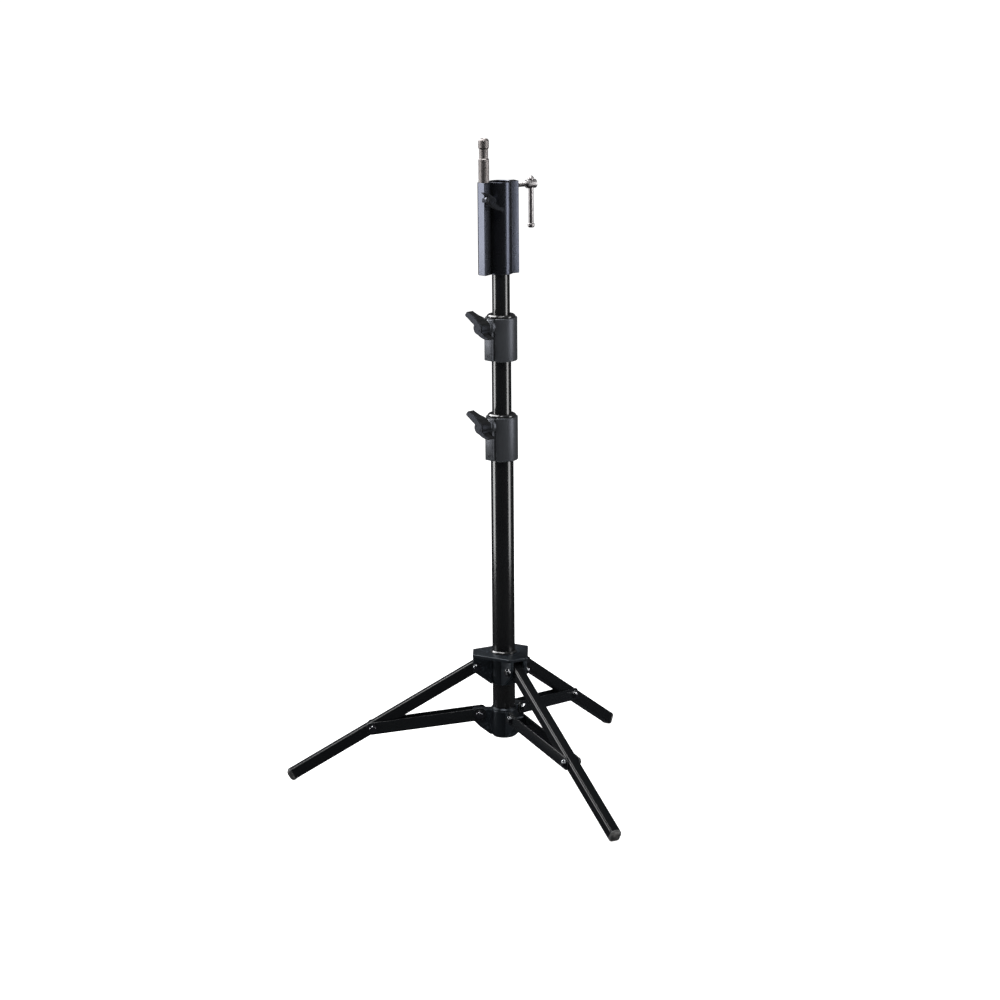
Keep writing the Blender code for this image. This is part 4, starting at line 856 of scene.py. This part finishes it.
# %% [markdown]
# ## Riser collars
# Each riser is gripped by a cast collar: a round body with a flat pad between two narrow grooves, a
# boss for the clamp screw and a small locking screw. Rows of that outline are stacked along the
# mast, moved inward at the rims, and carried back down the bore.

# %% Cast the collars
BODY_RADIUS = 24.5
PAD_SIDES = (-9.2, 8.0)
PAD_FACE = 28.0
GROOVE_WIDTH = 1.5
GROOVE_FLOOR = 20.6
RIM_ROUND = 1.6
CLAMP_DROP = 12.3


def collar_section():
    """The outline, with its undercut pad towards +x: an arc, then groove, pad and groove."""
    left, right = PAD_SIDES
    start = math.asin((right + GROOVE_WIDTH) / BODY_RADIUS)
    end = math.asin((left - GROOVE_WIDTH) / BODY_RADIUS)
    turn = np.linspace(start, math.tau + end, 97)
    arc = BODY_RADIUS * np.stack([np.cos(turn), np.sin(turn)], 1)
    pad = rounded([(GROOVE_FLOOR, left - GROOVE_WIDTH), (GROOVE_FLOOR, left + 1.5), (PAD_FACE, left),
                   (PAD_FACE, right), (GROOVE_FLOOR, right - 1.5), (GROOVE_FLOOR, right + GROOVE_WIDTH)],
                  [0, 0.2, 1.0, 1.0, 0.2, 0], 3)
    return np.concatenate([arc, pad])


def collar_body(low, top, bore, tube_bore):
    """Rows of the section: bottom rim, wall, top rim, ring seat and bore, closed into one ring."""
    section = collar_section()
    angle = np.arctan2(section[:, 1], section[:, 0])
    reach = np.linalg.norm(section, axis=1)
    across = np.stack([np.cos(angle), np.sin(angle)], 1)
    on_pad = np.abs(angle) < 0.4

    def row(inward, z, pad_z):
        return flat(across * (reach - inward)[:, None], np.where(on_pad, pad_z, z))

    rows = [flat(across * tube_bore, low)]
    quarter = math.pi / 2
    for end, way, turns in ((low, 1, np.linspace(0, quarter, 4)), (top, -1, np.linspace(quarter, 0, 6))):
        for turn in turns:
            drop = RIM_ROUND * (1 - math.cos(turn))
            rows.append(row(RIM_ROUND * (1 - math.sin(turn)), end + way * drop,
                            end + way * (RIM_ROUND + 0.5 * drop)))
    seat, middle = top - LIP_HEIGHT, top - 22.0
    rows += [flat(across * radius, z) for radius, z in (
        (RING_SEAT + 0.3, top), (RING_SEAT, top - 0.3), (RING_SEAT, seat), (bore, seat), (bore, middle),
        (tube_bore, middle))]
    return skin(np.stack(rows), True)


def riser_collar(prefix, body, bore, tube_bore):
    """A collar with its clamp boss, and the set screw and wing lever that belong to it."""
    node = f"{prefix}_riser_collar"
    low, top = height(node)
    place = facing(CLAMP_AZIMUTH, top - CLAMP_DROP)
    boss = rounded([(SCREW_BORE, 23.5), (11.0, 23.5), (11.0, PAD_FACE), (8.5, PAD_FACE + 2), (8.5, 38.0),
                    (SCREW_BORE, 38.0)], [0, 0, 0.8, 1.2, 0.8, 0.3], 4)
    shells = [placed(collar_body(low, top, bore, tube_bore), turned_about("z", CLAMP_AZIMUTH)),
              placed(turned(boss, 64, True), place)]
    piece(node, shells, COLLAR_BLACK, body)
    set_screw(f"{prefix}_collar_set_screw", tube_bore + CLEARANCE, PAD_FACE + 0.5, body,
              facing(CLAMP_AZIMUTH, low + 9.0))
    wing_lever(f"{prefix}_lever", place, 38.3, 1.0, (141.5, -31.0), 9.3, 8.6, (7.0, 4.5, 1.2))


# %% [markdown]
# ## Wing levers
# Seen from outside a wing lever is a single outline, with one square-ended and one pointed arm. It
# is worked out as a radius for each direction: the larger of body and arms, with soft corners
# between. Turning the points the more the nearer they lie to the middle bends the arms into an S.
# The face is a height over that plan, with shallow thumb dimples. On the collars the body reaches
# back over the boss as a sleeve, with webs under the arms.

# %% Mould the levers
LEVER_THICK = 12.3
LEVER_BEND = 24


def softer(one, two, power):
    """A smooth larger of two arrays for a positive power, or smaller for a negative one."""
    return (one ** power + two ** power) ** (1 / power)


def arm_radius(angle, direction, reach, root, tip):
    """An arm's edge seen from the centre: its half width over the sine, cut off at its reach."""
    off = (angle - math.radians(direction) + math.pi) % math.tau - math.pi
    along = np.maximum(np.cos(off), 1e-3)
    side = root / np.maximum(np.abs(np.sin(off)) + (root - tip) / reach * along, 1e-3)
    return np.where(np.cos(off) > 0.2, softer(side, reach / along, -14.0), 0.01)


def lever_outline(scale, directions, girth, columns=210):
    """The plan of body and arms, with points at equal steps along its edge."""
    angle = np.linspace(0, math.tau, 4000, endpoint=False)
    body = (girth + 0.35 * np.cos(angle - math.radians(directions[0] + 60))) * scale
    long_arm = arm_radius(angle, directions[0], 33.0 * scale, 5.4 * scale, 4.1 * scale)
    short_arm = arm_radius(angle, directions[1], 26.4 * scale, 5.6 * scale, 1.25 * scale)
    radius = softer(softer(body, long_arm, 7.0), short_arm, 7.0)
    nearness = np.clip((31.0 - radius / scale) / 18.5, 0, 1.2)
    angle = angle - math.radians(LEVER_BEND) * nearness ** 1.6
    x, y = radius * np.cos(angle), radius * np.sin(angle)
    length = np.r_[0, np.cumsum(np.hypot(np.diff(np.r_[x, x[0]]), np.diff(np.r_[y, y[0]])))]
    at = np.arange(columns) * length[-1] / columns
    return np.stack([np.interp(at, length, np.r_[line, line[0]]) for line in (x, y)], 1)


def face_height(points, scale, directions):
    """How far the lever's face stands below its flat: a slight crown and a row of thumb dimples."""
    x, y = points[..., 0] / scale, points[..., 1] / scale
    z = -0.5 * (np.hypot(x, y) / 24) ** 2
    for direction, places in zip(directions, ((4.0, 8.0, 12.0), (6.0, 10.0))):
        turn = math.radians(direction)
        u = x * math.cos(turn) + y * math.sin(turn)
        v = -x * math.sin(turn) + y * math.cos(turn)
        for middle in places:
            z = z - 0.25 * np.exp(-((u - middle) / 1.3) ** 2 - (v / 3.0) ** 2)
    return z * scale


def wing_lever(node, place, seat, scale, directions, girth, sleeve, webs):
    """Rows: seat, sleeve over the boss, underside, wall, upper rim, and the face back to the middle.

    Webs tells how far the underside lies behind the seat near the body, along the arms and at their ends.
    """
    outline = lever_outline(scale, directions, girth)
    reach = np.hypot(*outline.T)
    edge = np.interp(reach, [9.5 * scale, 27 * scale], [1.7 * scale, 0.75 * scale])
    top = seat + LEVER_THICK * scale
    foot = seat - np.interp(reach / scale, (12.0, 16.0, 20.0), webs)
    middle = outline / reach[:, None] * sleeve
    rows = [flat(middle * share, seat) for share in (0.0, 0.5, 1.0)] + [flat(middle, foot)]
    for turn in np.linspace(0, math.pi / 2, 4):
        rows.append(flat(inset(outline, 0.3 * (1 - math.sin(turn))), foot + 0.3 * (1 - math.cos(turn))))
    inner = inset(outline, edge)
    lift = face_height(inner, scale, directions)
    for turn in np.linspace(math.pi / 2, 0, 5):
        ring = inset(outline, edge * (1 - math.sin(turn)))
        rows.append(flat(ring, top + lift - edge * (1 - math.cos(turn))))
    core = inner / np.hypot(*inner.T)[:, None] * (6.4 * scale)
    rings = [core + (inner - core) * share for share in np.linspace(1, 0, 14)[1:]]
    rings += [core * share for share in np.linspace(1, 0, 12)[1:]]
    rows += [flat(ring, top + face_height(ring, scale, directions)) for ring in rings]
    piece(node, [skin(np.stack(rows))], LEVER_NYLON, node, place, 40)


riser_collar("lower", "mast", MID_BORE, LOWER_BORE)
riser_collar("upper", "mid_riser", TOP_BORE, MID_BORE)

# %% [markdown]
# ## Combination head
# The head is one long section, like an extrusion: a receiver barrel in the middle, a rib for its
# clamp screw on one side, and a slimmer barrel for the stud on the other, with a flat face drawn
# out to a corner. Each end has two holes, so it is cut into triangles between the loops.

# %% Raise the head's section
HEAD_LOW, HEAD_HIGH = height("combo_head")
BARREL = 18.0
STUD_OFFSET = 27.2
STUD_BARREL = 9.75
WEB = 6.5
FACE_TURN = math.radians(198)
FACE_DISTANCE = 9.3
FACE_CORNER = 10.8
FACE_ROOT = math.radians(14.2)
RIB_START = 9.0
RIB_HALF = 8.0
RIB_REACH = 27.8
RECEIVER = 14.4
STUD_BORE = 8.3
SHOULDER_BORE = 11.5


def arc(centre_x, radius, turn):
    """Points of a circle about (centre_x, 0), one for each angle of turn."""
    return np.stack([centre_x + radius * np.cos(turn), radius * np.sin(turn)], 1)


def head_section():
    """Barrel, rib on +x, stud barrel on -x with its flat face, and the web between the barrels.

    The face is the line at FACE_DISTANCE from the stud's axis whose normal points to FACE_TURN. It
    leaves the stud barrel where the two meet, at the turn less acos(distance / radius).
    """
    rib, web, stud_web = math.asin(RIB_HALF / BARREL), math.asin(WEB / BARREL), math.asin(WEB / STUD_BARREL)
    leaves = FACE_TURN - math.acos(FACE_DISTANCE / STUD_BARREL)
    upper = arc(0, BARREL, np.linspace(rib, math.pi - web, 36))
    stud = arc(-STUD_OFFSET, STUD_BARREL, np.linspace(stud_web, leaves, 34))
    lower = arc(0, BARREL, np.linspace(math.pi + FACE_ROOT, math.tau - rib, 36))
    normal = np.array([math.cos(FACE_TURN), math.sin(FACE_TURN)])
    along = np.array([-normal[1], normal[0]])
    corner = (-STUD_OFFSET, 0) + FACE_DISTANCE * normal + FACE_CORNER * along
    face = rounded([stud[-1], corner, lower[0]], [0, 1.0, 0], 4, closed=False)[1:-1]
    face = np.vstack([stud[-1] + 0.5 * along, face[0] - 0.5 * along, face])
    end = rounded(rectangle(RIB_START, -RIB_HALF, RIB_REACH, RIB_HALF), [0, 1.5, 1.5, 0], 4)[1:-1]
    return np.concatenate([upper, stud, face, lower, end])


def head_shell(low, high, edge=0.7):
    """Outer wall by rows, inner walls by rows, and the two ends as triangles between their loops."""
    outline = anticlockwise(head_section())
    seat, top = low + 40.5, low + 40.5 + 3.5
    barrel = [(TOP_BORE, low), (TOP_BORE, seat), (SHOULDER_BORE, seat), (SHOULDER_BORE, top),
              (RECEIVER, top), (RECEIVER, high - 0.5), (RECEIVER + 0.5, high)]
    stud = [(STUD_BORE, low), (STUD_BORE, high - 0.4), (STUD_BORE + 0.4, high)]
    walls = [np.stack([flat(inset(outline, d), z) for d, z in rim(low, high, edge)])]
    for x, profile in ((0, barrel), (-STUD_OFFSET, stud)):
        walls.append(np.stack([flat(arc(x, radius, around(96)), z) for radius, z in profile]))
    points, faces, start, loops = [], [], 0, []
    for rows in walls:
        grid, quads = skin(rows)
        points.append(grid)
        faces += [[corner + start for corner in quad] for quad in quads[:-2]]
        first = np.arange(rows.shape[1]) + start
        loops.append((first, first + (len(rows) - 1) * rows.shape[1]))
        start += len(grid)
    points = np.concatenate(points)
    for end in (0, 1):
        index = np.concatenate([loop[end] for loop in loops])
        cut = tessellate_polygon([[Vector(points[i]) for i in loop[end]] for loop in loops])
        faces += [[int(index[corner]) for corner in triangle] for triangle in cut]
    return points, faces


yaw = turned_about("z", HEAD_YAW)
stud_axis = yaw @ shifted(-STUD_OFFSET)
stud_clamp = stud_axis @ facing(-90, pivot("stud_lever_turn")[2])
boss = rounded([(3.3, 8.6), (7.6, 8.6), (7.6, 10.0), (6.5, 11.5), (6.5, 18.6), (3.3, 18.6)],
               [0, 0, 0.5, 0.8, 0.7, 0.2], 3)
shells = [placed(head_shell(HEAD_LOW, HEAD_HIGH), yaw), placed(turned(boss, 56, True), stud_clamp)]
piece("combo_head", shells, HEAD_BLACK, "top_riser")
wing_lever("stud_lever", stud_clamp, 18.9, 0.74, (-37.8, 139.9), 8.9, 6.1, (-0.7, -0.7, -0.7))
set_screw("head_set_screw", TOP_BORE, 18.5, "top_riser", yaw @ facing(90, HEAD_LOW + 17))

# %% [markdown]
# ## Stud
# The stud is a turned steel pin of 16 mm. A lamp's clamp bites into its waist, so it can't
# slide off. The profile runs from a chamfered foot, past the waist, to a domed tip.

# %% Turn the stud
STUD_RADIUS = 8
STUD_NECK = 6.75
low, high = height("stud")
stud = rounded([(0, low), (STUD_RADIUS, low), (STUD_RADIUS, high - 31), (STUD_NECK, high - 29.2),
                (STUD_NECK, high - 15.2), (STUD_RADIUS, high - 13.6), (STUD_RADIUS, high - 2.6),
                (5.6, high), (3.0, high), (2.2, high - 0.7), (0, high - 0.7)],
               [0, 1.0, 0.8, 0.8, 0.8, 0.6, 2.2, 1.4, 0.3, 0.2, 0], 5, closed=False)
piece("stud", [turned(stud, 96)], STEEL, "stud", stud_axis)

# %% [markdown]
# ## Clamp screw and sliding bar
# A thick screw clamps a spigot in the receiver. Its hub is drilled across for a bar that slides
# through, with a small knob on each end so that it can't fall out. The thread is a real spiral.

# %% Turn the screw and its bar
BAR_EXTRA = 2.5
screw_hub = rounded([(0, 42.5), (4.4, 42.5), (4.4, 44.0), (6.75, 44.0), (6.75, 60.0), (2.5, 60.0),
                     (1.8, 59.4), (0, 59.4)], [0, 0.3, 0, 0.9, 1.1, 0.2, 0.2, 0], 4, closed=False)
piece("t_screw", [thread(4.0, 15.0, 43.5, 1.5, 0.5, 48, 10), turned(screw_hub, 72)], NICKEL, "t_screw",
      yaw @ facing(0, pivot("t_screw_turn")[2]))


def bar_part(node, corners, radii, columns=56, steps=5):
    profile = rounded(corners, radii, steps, closed=False)
    piece(node, [turned(profile, columns)], BAR_STEEL, "tommy_bar", yaw @ shifted(52.0))


low, high = height("tommy_bar")
low -= BAR_EXTRA
bar_part("tommy_bar", rectangle(0, low, 3.9, high), [0, 0.4, 0.4, 0], 48, 3)
low, high = height("tommy_bar_knob_upper")
cone_top = high - 1.8
bar_part("tommy_bar_knob_upper", [(3.7, low), (5.0, low), (4.9, low + 1.2), (2.2, cone_top), (0, cone_top)],
         [0.2, 0.4, 1.0, 1.2, 0])
low, high = (z - BAR_EXTRA for z in height("tommy_bar_knob_lower"))
bar_part("tommy_bar_knob_lower", [(3.7, high), (5.2, high), (5.2, low), (0, low)], [0.2, 0.9, 2.6, 0])

# %% [markdown]
# ## What stays as it is
# A few nodes hardly show: guides inside the tubes, and screws and shoes inside bosses. Their CAD
# shapes are kept, and they only get their finish.

# %% Finish the kept nodes
for finish, kept in (
        (PLUG_PLASTIC, ("mid_tube_guide", "top_tube_guide")),
        (ZINC, ("hub_knob_screw", "lower_lever_screw", "upper_lever_screw", "stud_lever_screw")),
        (BRASS, ("lower_clamp_shoe", "upper_clamp_shoe"))):
    for node in kept:
        NODES[node].data.materials.clear()
        NODES[node].data.materials.append(finish)

# %% [markdown]
# ## Camera
# The photograph looks slightly down on the stand through a long lens. A fit of legs, hub and mast
# gave the camera's place and turn, so it is set from those angles, with no aim at a target.

# %% Place the camera
CAMERA_PLACE = (0.0779, -4.4828, 1.514)
CAMERA_TURN = (-13.352, -1.0448, -0.4484)
PICTURE_PIXELS = 1000.0
FOCAL_PIXELS = 3002.13
SENSOR = 36.0
pitch, swing, roll = np.radians(CAMERA_TURN)
forward = np.array([np.sin(swing) * np.cos(pitch), np.cos(swing) * np.cos(pitch), np.sin(pitch)])
right = np.array([np.cos(swing), -np.sin(swing), 0])
up = np.cross(right, forward)
matrix = np.eye(4)
matrix[:3, 0] = np.cos(roll) * right + np.sin(roll) * up
matrix[:3, 1] = np.cos(roll) * up - np.sin(roll) * right
matrix[:3, 2] = -forward
matrix[:3, 3] = np.array(CAMERA_PLACE) + (MAST_X * MM, 0, 0)
camera_data = bpy.data.cameras.new("camera")
camera_data.sensor_width = SENSOR
camera_data.lens = FOCAL_PIXELS / PICTURE_PIXELS * SENSOR
camera = bpy.data.objects.new("camera", camera_data)
bpy.context.scene.collection.objects.link(camera)
camera.matrix_world = Matrix(matrix.tolist())
bpy.context.scene.camera = camera

# %% [markdown]
# ## Floor and light
# Gloss black shows lamps more than it shows itself. Two tall lamps at the sides draw the two thin
# lines down each tube, and a broad one overhead catches the rings, the leg tops and the bar. The
# pale floor is left out of mirror reflections, so the middle of each tube stays black.

# %% Build the floor and the lamps
FLOOR_HALF = 40.0
floor_mesh = bpy.data.meshes.new("floor")
corners = [(x * FLOOR_HALF, y * FLOOR_HALF, -0.0005) for x, y in ((-1, -1), (1, -1), (1, 1), (-1, 1))]
floor_mesh.from_pydata(corners, [], [(0, 1, 2, 3)])
floor = bpy.data.objects.new("floor", floor_mesh)
bpy.context.scene.collection.objects.link(floor)
floor_finish = Finish("pale_floor", Emission_Color=(1, 1, 1, 1), Emission_Strength=1.06)
floor_mesh.materials.append(floor_finish.finish((0.25, 0.25, 0.25, 1), 0.9))
floor.visible_glossy = False
floor.visible_shadow = False


def lamp(name, azimuth, elevation, distance, width, tall, power, middle=0.5):
    """A rectangular lamp that looks at the mast, azimuth counted from +x."""
    data = bpy.data.lights.new(name, "AREA")
    data.shape = "RECTANGLE"
    data.size, data.size_y, data.energy = width, tall, power
    made = bpy.data.objects.new(name, data)
    bpy.context.scene.collection.objects.link(made)
    a, e = math.radians(azimuth), math.radians(elevation)
    away = Vector((math.cos(a) * math.cos(e), math.sin(a) * math.cos(e), math.sin(e)))
    made.location = Vector((MAST_X * MM, 0, middle)) + away * distance
    made.rotation_euler = away.to_track_quat("Z", "Y").to_euler()
    made.visible_camera = False


lamp("left_strip", 180, 0, 2.2, 0.95, 2.4, 72, 1.06)
lamp("right_strip", -14, 0, 2.2, 0.85, 2.4, 56, 1.06)
lamp("overhead", 140, 60, 2.2, 1.2, 3.1, 175, 0.6)
lamp("front_fill", -90, 58, 3.0, 1.6, 1.0, 70)
lamp("back_panel", 100, 5, 4.0, 6.0, 0.9, 1.2, 0.1)

world = bpy.data.worlds.new("studio")
bpy.context.scene.world = world
world.use_nodes = True
nodes, links = world.node_tree.nodes, world.node_tree.links
path = nodes.new("ShaderNodeLightPath")
shade = nodes.new("ShaderNodeMix")
shade.data_type = "RGBA"
shade.inputs[6].default_value = (0.025, 0.025, 0.03, 1)
shade.inputs[7].default_value = (1.0, 1.0, 1.0, 1)
links.new(path.outputs["Is Camera Ray"], shade.inputs[0])
links.new(shade.outputs[2], nodes["Background"].inputs["Color"])
bpy.context.scene.view_settings.view_transform = "Standard"
